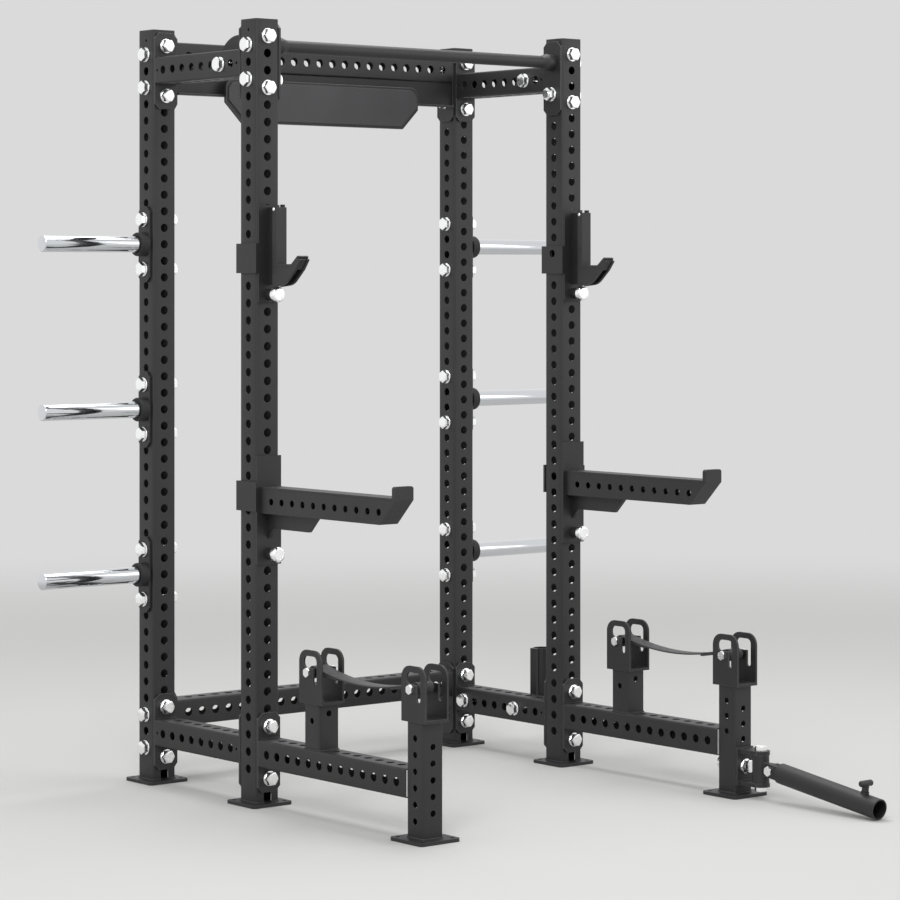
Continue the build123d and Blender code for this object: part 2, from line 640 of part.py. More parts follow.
def make_landmine():
    """A bracket on the right front post, a barrel that swivels in it, and a bar sleeve that tips."""
    x = SIDE_X
    face = POST_Y - POST / 2
    half_gap = EAR_SPACING / 2
    plate = Box(LANDMINE_PLATE_WIDTH, FLANGE, LANDMINE_PLATE_HEIGHT)
    plate = Pos(x, face - FLANGE / 2, LANDMINE_LEVEL) * plate
    plate -= Pos(x, face, LANDMINE_LEVEL) * TO_FRONT * Cylinder(HOLE / 2, 4 * FLANGE)
    reach = Pos(0, (SWIVEL_REACH - FLANGE) / 2) * Rectangle(EAR_WIDTH, SWIVEL_REACH + FLANGE)
    ear_outline = Circle(EAR_WIDTH / 2) + reach
    ear_outline -= Circle(SWIVEL_BOLT / 2 + CURVE_GAP)
    ear = extrude(ear_outline, EAR)
    ears = [Pos(x, SWIVEL_Y, LANDMINE_LEVEL + half_gap) * ear,
            Pos(x, SWIVEL_Y, LANDMINE_LEVEL - half_gap - EAR) * ear]
    nodes["landmine_bracket"] = plate + ears
    fasten(Pos(x, face - FLANGE, LANDMINE_LEVEL) * TO_REAR, POST + FLANGE)

    top = LANDMINE_LEVEL + half_gap + EAR
    drop = EAR_SPACING + 2 * EAR
    axle = Pos(x, SWIVEL_Y, top - drop) * extrude(Circle(SWIVEL_BOLT / 2), drop)
    head = hex_block(SWIVEL_FLATS, SWIVEL_HEAD)
    axle += Pos(x, SWIVEL_Y, top) * head
    axle += Pos(x, SWIVEL_Y, top - drop) * Rot(180, 0, 0) * head
    nodes["landmine_swivel_bolt"] = axle

    height = EAR_SPACING - 2 * CURVE_GAP
    low = LANDMINE_LEVEL - height / 2
    barrel = Pos(x, SWIVEL_Y, low) * extrude(Circle(BARREL / 2), height)
    tongue = side_profile([(0, -LUG_HEIGHT / 2), (LUG_REACH, -LUG_HEIGHT / 2),
                           (LUG_REACH, LUG_HEIGHT / 2), (0, LUG_HEIGHT / 2)])
    lug = Pos(x + LUG / 2, SWIVEL_Y, LANDMINE_LEVEL) * extrude(tongue, LUG)
    lug += Pos(x, HINGE_Y, LANDMINE_LEVEL) * TO_RIGHT * Cylinder(LUG_HEIGHT / 2, LUG)
    barrel += lug
    barrel -= Pos(x, SWIVEL_Y, LANDMINE_LEVEL) * Cylinder(SWIVEL_BOLT / 2 + RUNNING_GAP, 2 * height)
    barrel -= Pos(x, HINGE_Y, LANDMINE_LEVEL) * TO_RIGHT * Cylinder(HINGE_PIN / 2 + RUNNING_GAP, 2 * LUG)
    nodes["landmine_barrel"] = barrel

    outside = LUG / 2 + FORK_GAP + FORK + FORK_GAP
    pin = Pos(-outside, 0, 0) * TO_RIGHT * extrude(Circle(HINGE_PIN / 2), 2 * outside)
    pin_head = hex_block(HINGE_HEAD, HINGE_HEAD_LENGTH, HEX_BEVEL / 2)
    pin += Pos(outside, 0, 0) * TO_RIGHT * pin_head
    pin += Pos(-outside, 0, 0) * Rot(0, -90, 0) * pin_head
    nodes["landmine_hinge_pin"] = Pos(x, HINGE_Y, LANDMINE_LEVEL) * pin

    tipped = Pos(x, HINGE_Y, LANDMINE_LEVEL) * Rot(SLEEVE_TILT, 0, 0)
    nodes["landmine_sleeve"] = tipped * sleeve_shape()
    nodes["sleeve_thumbscrew"] = tipped * thumbscrew_shape()


def sleeve_shape():
    """The bar sleeve, pointing along -Y from its hinge: a fork, a back wall, a tube and a screw boss."""
    near = LUG / 2 + FORK_GAP
    outline = [(0, -LUG_HEIGHT / 2), (SLEEVE_START, -LUG_HEIGHT / 2),
               (SLEEVE_START, LUG_HEIGHT / 2), (0, LUG_HEIGHT / 2)]
    cheek = slab(outline, near, near + FORK)
    cheek += Pos(near + FORK / 2, 0, 0) * TO_RIGHT * Cylinder(LUG_HEIGHT / 2, FORK)
    cheek -= TO_RIGHT * Cylinder(HINGE_PIN / 2 + RUNNING_GAP, 4 * LUG)
    body = cheek + mirror(cheek, about=Plane.YZ)
    tube = Pos(0, -SLEEVE_START, 0) * TO_FRONT * extrude(Circle(SLEEVE / 2), SLEEVE_LENGTH)
    bore = Pos(0, -SLEEVE_START - FORK, 0) * TO_FRONT * extrude(Circle(SLEEVE_BORE / 2), SLEEVE_LENGTH)
    boss_foot = Pos(0, SCREW_INSET - SLEEVE_END, 0)
    boss = boss_foot * extrude(Circle(SCREW_BOSS / 2), SLEEVE / 2 + SCREW_BOSS_HEIGHT)
    body = body + tube + boss - bore
    return body - boss_foot * extrude(Circle(SCREW / 2 + RUNNING_GAP), SLEEVE)


def thumbscrew_shape():
    """A screw across the sleeve near its mouth, with a T bar to turn it by."""
    low = SLEEVE_BORE / 2 + CURVE_GAP
    bar_level = SLEEVE / 2 + SCREW_BOSS_HEIGHT + SCREW_NECK
    screw = Pos(0, 0, low) * extrude(Circle(SCREW / 2), bar_level - low)
    hub_level = SLEEVE / 2 + SCREW_BOSS_HEIGHT + SCREW_HUB_GAP
    hub = Pos(0, 0, hub_level) * extrude(Circle(SCREW_HUB / 2), bar_level - hub_level)
    bar = Pos(0, 0, bar_level) * TO_RIGHT * Cylinder(T_BAR / 2, T_BAR_LENGTH)
    bar = fillet(bar.edges().filter_by(GeomType.CIRCLE), T_BAR_ROUND)
    return Pos(0, SCREW_INSET - SLEEVE_END, 0) * (screw + hub + bar)


def wrap_band(low, inner, outer):
    """A wide stretch of the plate that carries the cheeks, from its inner edge to its outer one."""
    band = Box(inner + outer, HOOK_BACK, WRAP_HEIGHT)
    return Pos((outer - inner) / 2, -HOOK_BACK / 2, low + WRAP_HEIGHT / 2) * band


def wrap_cheek(low, sign):
    """A cheek that lies along one side of an upright, from the plate back past the upright's rear face."""
    cheek = Box(WRAP, WRAP_DEPTH + HOOK_BACK, WRAP_HEIGHT)
    middle_x = sign * (HALF + WRAP_GAP + WRAP / 2)
    return Pos(middle_x, (WRAP_DEPTH - HOOK_BACK) / 2, low + WRAP_HEIGHT / 2) * cheek


def lock_pin_shape():
    """A spring pin: the bolt that enters the upright, a thin stem and a round knob to pull."""
    pin = Pos(0, LOCK_REACH, 0) * TO_FRONT * extrude(Circle(LOCK_PIN / 2), LOCK_REACH + HOOK_BACK)
    front = HOOK_BACK + LOCK_HOUSING_LENGTH + KNOB_GAP
    stem = Pos(0, LOCK_REACH, 0) * TO_FRONT * extrude(Circle(LOCK_STEM / 2), LOCK_REACH + front + KNOB_GAP)
    knob = Pos(0, -front, 0) * TO_FRONT * extrude(Circle(KNOB / 2), KNOB_LENGTH)
    knob = fillet(knob.edges().filter_by(GeomType.CIRCLE), KNOB_ROUND)
    return pin + stem + knob


def lock_housing():
    """The pin's housing on the plate, hollow for the spring, with a front wall round the stem."""
    tube = TO_FRONT * extrude(Circle(LOCK_HOUSING / 2), LOCK_HOUSING_LENGTH)
    hollow = TO_FRONT * extrude(Circle(LOCK_PIN / 2 + CURVE_GAP), LOCK_HOUSING_LENGTH - WALL)
    stem_hole = TO_FRONT * Cylinder(LOCK_STEM / 2 + RUNNING_GAP, 4 * LOCK_HOUSING_LENGTH)
    return Pos(0, -HOOK_BACK, 0) * (tube - hollow - stem_hole)


def pin_hole(level):
    return Pos(0, 0, level) * TO_FRONT * Cylinder(LOCK_PIN / 2 + RUNNING_GAP, 4 * HOOK_BACK)


def make_hooks():
    """Bar hooks: a plate with a cheek on each side of the upright, a hook on a thin neck, and a liner."""
    pin = HOOK_PIN_LEVEL
    seat = pin + SEAT_ABOVE_PIN
    height = HOOK_PLATE_BELOW + HOOK_PLATE_ABOVE
    top = pin + HOOK_PLATE_ABOVE
    plate = Pos(0, -HOOK_BACK / 2, top - height / 2) * Box(HOOK_PLATE_WIDTH, HOOK_BACK, height)
    wrap_low = pin + HOOK_WRAP_ABOVE_PIN
    edge = HALF + WRAP_GAP + WRAP
    inner_cheek = wrap_cheek(wrap_low, -1)
    inner_cheek -= Pos(-edge, HALF, SIDE_LEVELS[HOOK_SIGHT_HOLE]) * TO_RIGHT * Cylinder(HOLE / 2, TUBE)
    plate = plate + wrap_band(wrap_low, edge, edge) + wrap_cheek(wrap_low, 1) + inner_cheek
    tip = SPINE_DEPTH + LINER + SEAT_LENGTH
    lip = tip + LIP_LEAN
    inside = [(SPINE_DEPTH, top), (SPINE_DEPTH, seat - LINER), (tip + LINER_TOE, seat - LINER),
              (lip + LINER_TOE, seat + LIP_RISE - LINER)]
    outside = [(lip + LIP_THICKNESS, seat + LIP_RISE / 2), (tip + TOE, seat - TOE_DROP),
               (tip - HEEL, seat - HEEL_DROP), (NECK_DEPTH, seat - ROOT_DROP), (NECK_DEPTH, top)]
    half = HOOK_WIDTH / 2
    outline = inside + outside
    cheek = slab(outline, half - HOOK_CHEEK, half)
    heel = cheek.edges().filter_by(Axis.X).sort_by_distance((half, HEEL - tip, seat - HEEL_DROP))[0]
    cheek = fillet(heel, HEEL_ROUND)
    cheeks = [cheek, mirror(cheek, about=Plane.YZ)]
    core = [(NECK_DEPTH, top - LINER), (SPINE_DEPTH, top - LINER), (SPINE_DEPTH, seat - LINER),
            (tip, seat - LINER), (tip - CORE_TOE, seat - CORE_DROP), (NECK_DEPTH, seat - CORE_DROP)]
    web = [(tip + LINER_TOE, seat - LINER), (lip + LINER_TOE, seat + LIP_RISE - LINER),
           (lip + LIP_THICKNESS - WEB_SETBACK, seat + LIP_RISE / 2),
           (tip + TOE - WEB_SETBACK, seat - TOE_DROP)]
    fillings = [slab(shape, HOOK_CHEEK - half, half - HOOK_CHEEK) for shape in (core, web)]
    neck = [(HOOK_BACK, top - LINER), (SPINE_DEPTH, top - LINER), (SPINE_DEPTH, seat - HEEL_DROP),
            (HOOK_BACK, seat - HEEL_DROP)]
    frame = plate + cheeks + fillings + slab(neck, -NECK / 2, NECK / 2)
    frame = frame + Pos(0, 0, pin) * lock_housing() - pin_hole(pin)
    bar_side = [(SPINE_DEPTH, top - LINER), (SPINE_DEPTH + LINER, top - LINER), (SPINE_DEPTH + LINER, seat),
                (tip, seat), (lip, seat + LIP_RISE), (lip + LIP_CAP, seat + LIP_RISE - LIP_CAP_DROP),
                (lip + LINER_TOE, seat + LIP_RISE - LINER), (tip + LINER_TOE, seat - LINER),
                (SPINE_DEPTH, seat - LINER)]
    liner = slab(bar_side, -half, half)
    lock = Pos(0, 0, pin) * lock_pin_shape()
    for side, sign in SIDES.items():
        place = Pos(sign * SIDE_X, FRONT_FACE, 0)
        nodes[f"bar_hook_{side}"] = place * (frame if sign > 0 else mirror(frame, about=Plane.YZ))
        nodes[f"bar_hook_liner_{side}"] = place * liner
        nodes[f"bar_hook_pin_{side}"] = place * lock


def arm_tube():
    """The spotter arm's tube with a slanted closed front, its cross holes and the upright stop."""
    low = ARM_PIN_LEVEL + ARM_ABOVE_PIN
    high = low + ARM_HEIGHT
    outline = [(HOOK_BACK, low), (ARM_REACH - ARM_HEIGHT, low), (ARM_REACH, high), (HOOK_BACK, high)]
    inside = [(HOOK_BACK - WALL, low + WALL), (ARM_REACH - ARM_HEIGHT - WALL, low + WALL),
              (ARM_REACH - 3 * WALL, high - WALL), (HOOK_BACK - WALL, high - WALL)]
    half = ARM_WIDTH / 2
    body = slab(outline, -half, half) - slab(inside, WALL - half, half - WALL)
    middle = (low + high) / 2
    body -= [Pos(0, -ARM_FIRST_HOLE - PITCH * i, middle) * TO_RIGHT * Cylinder(ARM_HOLE / 2, 2 * ARM_WIDTH)
             for i in range(ARM_HOLES)]
    stop = Box(ARM_WIDTH, STOP, STOP_RISE)
    stop = fillet(stop.edges().filter_by(Axis.Y).group_by(Axis.Z)[-1], STOP_ROUND)
    return body + Pos(0, STOP / 2 - ARM_REACH, high + STOP_RISE / 2) * stop


def make_arms():
    """Spotter arms: a plate that wraps round the upright's outer side, a braced tube and a top strip."""
    pin = ARM_PIN_LEVEL
    low = pin + ARM_ABOVE_PIN
    height = ARM_PLATE_BELOW + ARM_PLATE_ABOVE
    plate = Pos(0, -HOOK_BACK / 2, pin - ARM_PLATE_BELOW + height / 2)
    plate = plate * Box(ARM_PLATE_WIDTH, HOOK_BACK, height)
    wrap_low = pin + ARM_WRAP_ABOVE_PIN
    edge = HALF + WRAP_GAP + WRAP
    back = Pos((edge - HALF) / 2, WRAP_DEPTH - WRAP_BACK / 2, wrap_low + WRAP_HEIGHT / 2)
    back = back * Box(edge + HALF, WRAP_BACK, WRAP_HEIGHT)
    plate = plate + wrap_band(wrap_low, ARM_PLATE_WIDTH / 2, edge) + wrap_cheek(wrap_low, 1) + back
    brace_low = low - BRACE_HEIGHT
    outline = [(HOOK_BACK, brace_low - BRACE_FILLET), (HOOK_BACK + BRACE_FILLET, brace_low),
               (BRACE_REACH - BRACE_SLANT, brace_low), (BRACE_REACH, low), (HOOK_BACK, low)]
    brace = slab(outline, -BRACE_WIDTH / 2, BRACE_WIDTH / 2)
    arm = plate + arm_tube() + brace + Pos(0, 0, pin) * lock_housing() - pin_hole(pin)
    run = ARM_REACH - STOP - HOOK_BACK
    high = low + ARM_HEIGHT
    liner = Pos(0, -HOOK_BACK - run / 2, high + ARM_LINER / 2) * Box(ARM_WIDTH, run, ARM_LINER)
    lock = Pos(0, 0, pin) * lock_pin_shape()
    for side, sign in SIDES.items():
        place = Pos(sign * SIDE_X, FRONT_FACE, 0)
        nodes[f"spotter_arm_{side}"] = place * (arm if sign > 0 else mirror(arm, about=Plane.YZ))
        nodes[f"spotter_arm_liner_{side}"] = place * liner
        nodes[f"spotter_arm_pin_{side}"] = place * lock


make_uprights()
make_base_plates()
make_side_tubes()
make_crossmembers()
make_sign()
make_pull_up_bar()
make_gusset()
make_feet()
make_posts()
make_straps()
make_pegs()
make_barbell_holder()
make_landmine()
make_hooks()
make_arms()
nodes["frame_bolts"] = bolts
nodes["frame_washers"] = washers
nodes["frame_nuts"] = nuts

os.makedirs("parts", exist_ok=True)
for name, shape in nodes.items():
    solid = Compound(children=shape) if isinstance(shape, list) else shape
    export_step(solid, f"parts/{name}.step")
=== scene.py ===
"""Looks of a bolted half rack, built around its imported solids. Metres, front at -Y, up at +Z."""
from math import atan, cos, pi, radians, sin, sqrt

import bmesh
import bpy
from mathutils import Matrix, Vector


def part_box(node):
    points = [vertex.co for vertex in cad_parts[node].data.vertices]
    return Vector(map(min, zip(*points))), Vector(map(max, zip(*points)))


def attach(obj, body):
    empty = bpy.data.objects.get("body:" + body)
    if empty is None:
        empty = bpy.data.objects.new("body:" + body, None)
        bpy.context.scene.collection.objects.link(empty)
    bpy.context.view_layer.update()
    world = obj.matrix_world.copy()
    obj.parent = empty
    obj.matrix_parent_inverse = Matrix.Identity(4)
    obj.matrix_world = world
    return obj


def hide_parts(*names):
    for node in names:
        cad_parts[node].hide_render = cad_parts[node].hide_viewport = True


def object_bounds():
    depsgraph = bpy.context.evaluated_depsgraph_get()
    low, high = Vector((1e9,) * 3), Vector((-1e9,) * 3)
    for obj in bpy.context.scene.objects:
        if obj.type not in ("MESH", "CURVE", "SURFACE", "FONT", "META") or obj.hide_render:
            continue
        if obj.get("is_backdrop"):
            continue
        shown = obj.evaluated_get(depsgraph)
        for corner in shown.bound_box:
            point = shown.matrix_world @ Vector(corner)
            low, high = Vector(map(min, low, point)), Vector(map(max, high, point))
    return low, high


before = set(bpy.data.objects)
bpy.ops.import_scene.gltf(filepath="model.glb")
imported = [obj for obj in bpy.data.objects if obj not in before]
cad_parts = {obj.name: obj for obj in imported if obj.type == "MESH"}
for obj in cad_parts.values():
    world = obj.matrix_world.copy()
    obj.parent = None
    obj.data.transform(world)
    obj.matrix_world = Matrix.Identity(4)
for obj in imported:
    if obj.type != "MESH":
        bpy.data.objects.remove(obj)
cad_low, cad_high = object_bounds()


# Uprights: four cold-formed square steel tubes, laser cut with one row of round holes up each
# face and an arched mouse hole at the front foot. Welded shut by a flat cap, then powder coated.
TUBE_SIDE = 0.080
TUBE_WALL = 0.003
TUBE_CORNER = 0.006
HOLE_PITCH = 0.050
HOLE_SIDE = 0.025
PILOT_RADIUS = 0.004
PILOT_INSET = 0.032
UPRIGHT_FRONT_HOLES = (0.080, 44)
UPRIGHT_SIDE_HOLES = (0.105, 43)
ARCH_WIDTH = 0.026
ARCH_HEIGHT = 0.037
ARCH_START = -0.005
HOLE_EDGE = 0.0008
PLATE_EDGE = 0.0012
HOLE_TURN = 50
DRILL_WALLS = 4.0
CORNER_STEPS = 5
HOLE_STEPS = 32
PILOT_STEPS = 16
ARCH_STEPS = 16
SAME_POINT = 1e-5
FLAT_TURN = 0.5
NOISE_SPREAD = {1: 0.3, 2: 0.7}


def linear(code):
    """An sRGB hex colour as linear red, green, blue and alpha."""
    shares = [int(code[i:i + 2], 16) / 255 for i in (1, 3, 5)]
    return (*[s / 12.92 if s <= 0.04045 else ((s + 0.055) / 1.055) ** 2.4 for s in shares], 1.0)


def feed(tree, node, inputs):
    """Links or sets a node's inputs."""
    for key, value in inputs.items():
        for single in value if isinstance(value, list) else [value]:
            if isinstance(single, bpy.types.NodeSocket):
                tree.links.new(single, node.inputs[key])
            else:
                node.inputs[key].default_value = single


def grow(tree, kind, inputs=None, **settings):
    """Adds one node with its settings, and links or sets its inputs."""
    made = tree.nodes.new(kind)
    for key, value in settings.items():
        setattr(made, key, value)
    feed(tree, made, inputs or {})
    return made


def blank_finish(name):
    """A new material, with its node tree, its shader and the coordinates of the piece that wears it."""
    finish = bpy.data.materials.new(name)
    finish.use_nodes = True
    tree = finish.node_tree
    return finish, tree, tree.nodes["Principled BSDF"], grow(tree, "ShaderNodeTexCoord").outputs["Object"]


def powder_coat(name, dark, light, roughness):
    """Polyester powder, sprayed dry and baked: matte, with a fine orange peel and faint cloudy shade.
    The peel is about 0.6 mm on the real coat, and is drawn at 3 mm so that it shows."""
    peel, cloud = 0.003, 0.22
    coat, tree, shader, place = blank_finish(name)
    grain = grow(tree, "ShaderNodeTexNoise", {"Vector": place, "Scale": 1 / peel, "Detail": 3.0})
    shade = grow(tree, "ShaderNodeTexNoise", {"Vector": place, "Scale": 1 / cloud, "Detail": 4.0})
    ramp = grow(tree, "ShaderNodeMapRange", {0: shade.outputs[0], **NOISE_SPREAD})
    speck = grow(tree, "ShaderNodeMapRange", {0: grain.outputs[0], 1: 0.35, 2: 0.75, 3: -0.12, 4: 0.12})
    blend = grow(tree, "ShaderNodeMath", {0: ramp.outputs[0], 1: speck.outputs[0]}, use_clamp=True)
    tint = grow(tree, "ShaderNodeMix", {0: blend.outputs[0], 6: linear(dark), 7: linear(light)},
                data_type="RGBA")
    gloss = grow(tree, "ShaderNodeMapRange",
                 {0: grain.outputs[0], **NOISE_SPREAD, 3: roughness - 0.05, 4: roughness + 0.07})
    relief = grow(tree, "ShaderNodeBump", {"Height": grain.outputs[0], "Strength": 0.22, "Distance": 0.0004})
    feed(tree, shader, {"Base Color": tint.outputs[2], "Roughness": gloss.outputs[0],
                        "Normal": relief.outputs[0], "IOR": 1.5})
    return coat


black_coat = powder_coat("matte black powder coat", "#1b1b1c", "#232324", 0.5)
# A much paler coat for the bevelled edges: a painted highlight along every edge.
edge_highlight_coat = powder_coat("powder coat with painted edge highlight", "#4b4b4d", "#5d5d5f", 0.4)


def link(name, mesh):
    """Puts a mesh in the scene as a piece of that name."""
    piece = bpy.data.objects.new(name, mesh)
    bpy.context.scene.collection.objects.link(piece)
    return piece


def settle(piece, body, slot, *nodes):
    """Fixes a finished piece to its body and hides the nodes that it stands for. The slot is not used."""
    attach(piece, body)
    if nodes:
        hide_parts(*nodes)
    return piece


def ease(piece, width, least=40):
    """Rounds every edge that turns by more than the least angle, in degrees. Coated edges get a paler coat
    there, a painted highlight.
    """
    piece.data.shade_smooth()
    piece.data.set_sharp_from_angle(angle=radians(least))
    bevel = piece.modifiers.new("eased edges", "BEVEL")
    bevel.width = width
    bevel.segments = 2
    bevel.limit_method = "ANGLE"
    bevel.angle_limit = radians(least)
    bevel.harden_normals = True
    # Coated pieces wear the paler coat on their bevels, a painted edge highlight.
    if piece.data.materials[0] == black_coat:
        piece.data.materials.append(edge_highlight_coat)
        bevel.material = 1
    return piece


def eased_copy(node, width, finish, slot, body="rack", least=40):
    """A CAD node's own shape with its flat faces joined up and its edges rounded."""
    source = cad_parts[node].data
    mesh = bpy.data.meshes.new(node + "_eased")
    mesh.from_pydata([v.co[:] for v in source.vertices], [], [p.vertices[:] for p in source.polygons])
    shape = bmesh.new()
    shape.from_mesh(mesh)
    bmesh.ops.remove_doubles(shape, verts=shape.verts, dist=SAME_POINT)
    bmesh.ops.dissolve_limit(shape, angle_limit=radians(FLAT_TURN), verts=shape.verts, edges=shape.edges)
    shape.to_mesh(mesh)
    shape.free()
    mesh.materials.append(finish)
    piece = ease(link(node + "_eased", mesh), width, least)
    return settle(piece, body, slot, node)


def prism(outline, depth, place, name="prism"):
    """A flat outline on the place's XY plane, given depth along its Z."""
    shape = bmesh.new()
    face = shape.faces.new([shape.verts.new((x, y, 0)) for x, y in outline])
    far = bmesh.ops.extrude_face_region(shape, geom=[face])["geom"]
    raised = [v for v in far if isinstance(v, bmesh.types.BMVert)]
    bmesh.ops.translate(shape, vec=(0, 0, depth), verts=raised)
    bmesh.ops.transform(shape, matrix=place, verts=shape.verts)
    bmesh.ops.recalc_face_normals(shape, faces=shape.faces)
    mesh = bpy.data.meshes.new(name)
    shape.to_mesh(mesh)
    shape.free()
    return mesh


def plain(piece):
    """The mesh that a piece with modifiers comes to, with the carrying object removed."""
    graph = bpy.context.evaluated_depsgraph_get()
    mesh = bpy.data.meshes.new_from_object(piece.evaluated_get(graph), depsgraph=graph)
    bpy.data.objects.remove(piece)
    return mesh


def form_tree(name, sockets):
    """An empty node tree with these inputs and a geometry output."""
    tree = bpy.data.node_groups.new(name, "GeometryNodeTree")
    tree.interface.new_socket("Geometry", in_out="OUTPUT", socket_type="NodeSocketGeometry")
    for label, kind in sockets.items():
        tree.interface.new_socket(label, in_out="INPUT", socket_type="NodeSocket" + kind)
    return tree, tree.nodes.new("NodeGroupInput").outputs


def form(tree, values, start=None):
    """The plain mesh that a node tree makes from its named inputs."""
    carrier = link("form", start or bpy.data.meshes.new("form"))
    step = carrier.modifiers.new("form", "NODES")
    step.node_group = tree
    for socket in tree.interface.items_tree:
        if socket.in_out == "INPUT" and socket.name in values:
            step[socket.identifier] = values[socket.name]
    return plain(carrier)


def close_tree(tree, shape, finish):
    """Ends a tree in plain faces that wear one finish."""
    real = grow(tree, "GeometryNodeRealizeInstances", {0: shape})
    worn = grow(tree, "GeometryNodeSetMaterial", {"Geometry": real.outputs[0], "Material": finish})
    grow(tree, "NodeGroupOutput", {0: worn.outputs[0]})


def marks(spots):
    """Points that each carry an aim and a reach, for a tree to set pieces on."""
    mesh = bpy.data.meshes.new("marks")
    mesh.from_pydata([place[:] for place, _, _ in spots], [], [])
    aims = mesh.attributes.new("aim", "FLOAT_VECTOR", "POINT")
    aims.data.foreach_set("vector", [c for _, aim, _ in spots for c in aim])
    reaches = mesh.attributes.new("reach", "FLOAT", "POINT")
    reaches.data.foreach_set("value", [reach for _, _, reach in spots])
    return mesh


def placed(tree, points, shape, scale=None):
    """Instances of a shape on marked points, turned so that its Z follows each point's aim."""
    aim = grow(tree, "GeometryNodeInputNamedAttribute", {"Name": "aim"}, data_type="FLOAT_VECTOR")
    turn = grow(tree, "FunctionNodeAlignRotationToVector", {"Vector": aim.outputs[0]}, axis="Z")
    inputs = {"Points": points, "Instance": shape, "Rotation": turn.outputs[0]}
    if scale:
        inputs["Scale"] = scale
    return grow(tree, "GeometryNodeInstanceOnPoints", inputs).outputs[0]


tube_tree, given = form_tree("perforated square tube", {
    "Points": "Geometry", "Side": "Float", "Wall": "Float", "Corner": "Float", "Length": "Float",
    "Hole": "Float", "Pitch": "Float", "First Y": "Float", "Count Y": "Int", "First X": "Float",
    "Count X": "Int", "Finish": "Material"})
rims = []
for inset in (0.0, 1.0):
    taken = grow(tube_tree, "ShaderNodeMath", {0: given["Wall"], 1: inset}, operation="MULTIPLY").outputs[0]
    both = grow(tube_tree, "ShaderNodeMath", {0: taken, 1: 2.0}, operation="MULTIPLY").outputs[0]
    width = grow(tube_tree, "ShaderNodeMath", {0: given["Side"], 1: both}, operation="SUBTRACT").outputs[0]
    round_off = grow(tube_tree, "ShaderNodeMath", {0: given["Corner"], 1: taken}, operation="SUBTRACT")
    square = grow(tube_tree, "GeometryNodeCurvePrimitiveQuadrilateral", {"Width": width, "Height": width})
    rims.append(grow(tube_tree, "GeometryNodeFilletCurve",
                     {"Curve": square.outputs[0], "Radius": round_off.outputs[0], "Count": CORNER_STEPS},
                     mode="POLY").outputs[0])
section = grow(tube_tree, "GeometryNodeFillCurve",
               {"Curve": grow(tube_tree, "GeometryNodeJoinGeometry", {0: rims}).outputs[0]}, mode="NGONS")
walls = grow(tube_tree, "GeometryNodeExtrudeMesh",
             {"Mesh": section.outputs[0], "Offset": (0, 0, 1), "Offset Scale": given["Length"],
              "Individual": False}, mode="FACES")
foot = grow(tube_tree, "GeometryNodeFlipFaces", {0: section.outputs[0]})
body_parts = grow(tube_tree, "GeometryNodeJoinGeometry", {0: [walls.outputs[0], foot.outputs[0]]})
closed = grow(tube_tree, "GeometryNodeMergeByDistance",
              {"Geometry": body_parts.outputs[0], "Distance": SAME_POINT})
radius = grow(tube_tree, "ShaderNodeMath", {0: given["Hole"], 1: 0.5}, operation="MULTIPLY").outputs[0]
depth = grow(tube_tree, "ShaderNodeMath", {0: given["Wall"], 1: DRILL_WALLS}, operation="MULTIPLY").outputs[0]
drill = grow(tube_tree, "GeometryNodeMeshCylinder",
             {"Vertices": HOLE_STEPS, "Radius": radius, "Depth": depth})
step_up = grow(tube_tree, "ShaderNodeCombineXYZ", {2: given["Pitch"]})
middle = grow(tube_tree, "ShaderNodeMath", {0: given["Side"], 1: given["Wall"]}, operation="SUBTRACT")
drills = []
for axis, turn in (("X", (0, pi / 2, 0)), ("Y", (pi / 2, 0, 0))):
    for side in (-0.5, 0.5):
        off = grow(tube_tree, "ShaderNodeMath", {0: middle.outputs[0], 1: side}, operation="MULTIPLY")
        start = grow(tube_tree, "ShaderNodeCombineXYZ",
                     {axis: off.outputs[0], "Z": given["First " + axis]})
        line = grow(tube_tree, "GeometryNodeMeshLine",
                    {"Count": given["Count " + axis], "Start Location": start.outputs[0],
                     "Offset": step_up.outputs[0]})
        holes = {"Points": line.outputs[0], "Instance": drill.outputs[0], "Rotation": turn}
        drills.append(grow(tube_tree, "GeometryNodeInstanceOnPoints", holes).outputs[0])
pilot = grow(tube_tree, "GeometryNodeMeshCylinder", {"Vertices": PILOT_STEPS, "Radius": 1.0, "Depth": depth})
reach = grow(tube_tree, "GeometryNodeInputNamedAttribute", {"Name": "reach"}, data_type="FLOAT").outputs[0]
stretch = grow(tube_tree, "ShaderNodeCombineXYZ", {0: reach, 1: reach, 2: 1.0}).outputs[0]
drills.append(placed(tube_tree, given["Points"], pilot.outputs[0], stretch))
all_drills = grow(tube_tree, "GeometryNodeRealizeInstances",
                  {0: grow(tube_tree, "GeometryNodeJoinGeometry", {0: drills}).outputs[0]})
drilled = grow(tube_tree, "GeometryNodeMeshBoolean",
               {"Mesh 1": closed.outputs[0], "Mesh 2": all_drills.outputs[0]},
               operation="DIFFERENCE", solver="EXACT")
close_tree(tube_tree, drilled.outputs[0], given["Finish"])


def perforated(length, y_row, x_row, pilots):
    """A tube along +Z. A row is its first hole's distance from the lower end and its count, and pilots
    are the heights of small holes through both X walls."""
    off = (TUBE_SIDE - TUBE_WALL) / 2
    spots = [((side * off, 0, z), (1, 0, 0), PILOT_RADIUS) for z in pilots for side in (-1, 1)]
    return form(tube_tree, {
        "Side": TUBE_SIDE, "Wall": TUBE_WALL, "Corner": TUBE_CORNER, "Length": length,
        "Hole": HOLE_SIDE, "Pitch": HOLE_PITCH, "First Y": y_row[0], "Count Y": y_row[1],
        "First X": x_row[0], "Count X": x_row[1], "Finish": black_coat}, marks(spots))


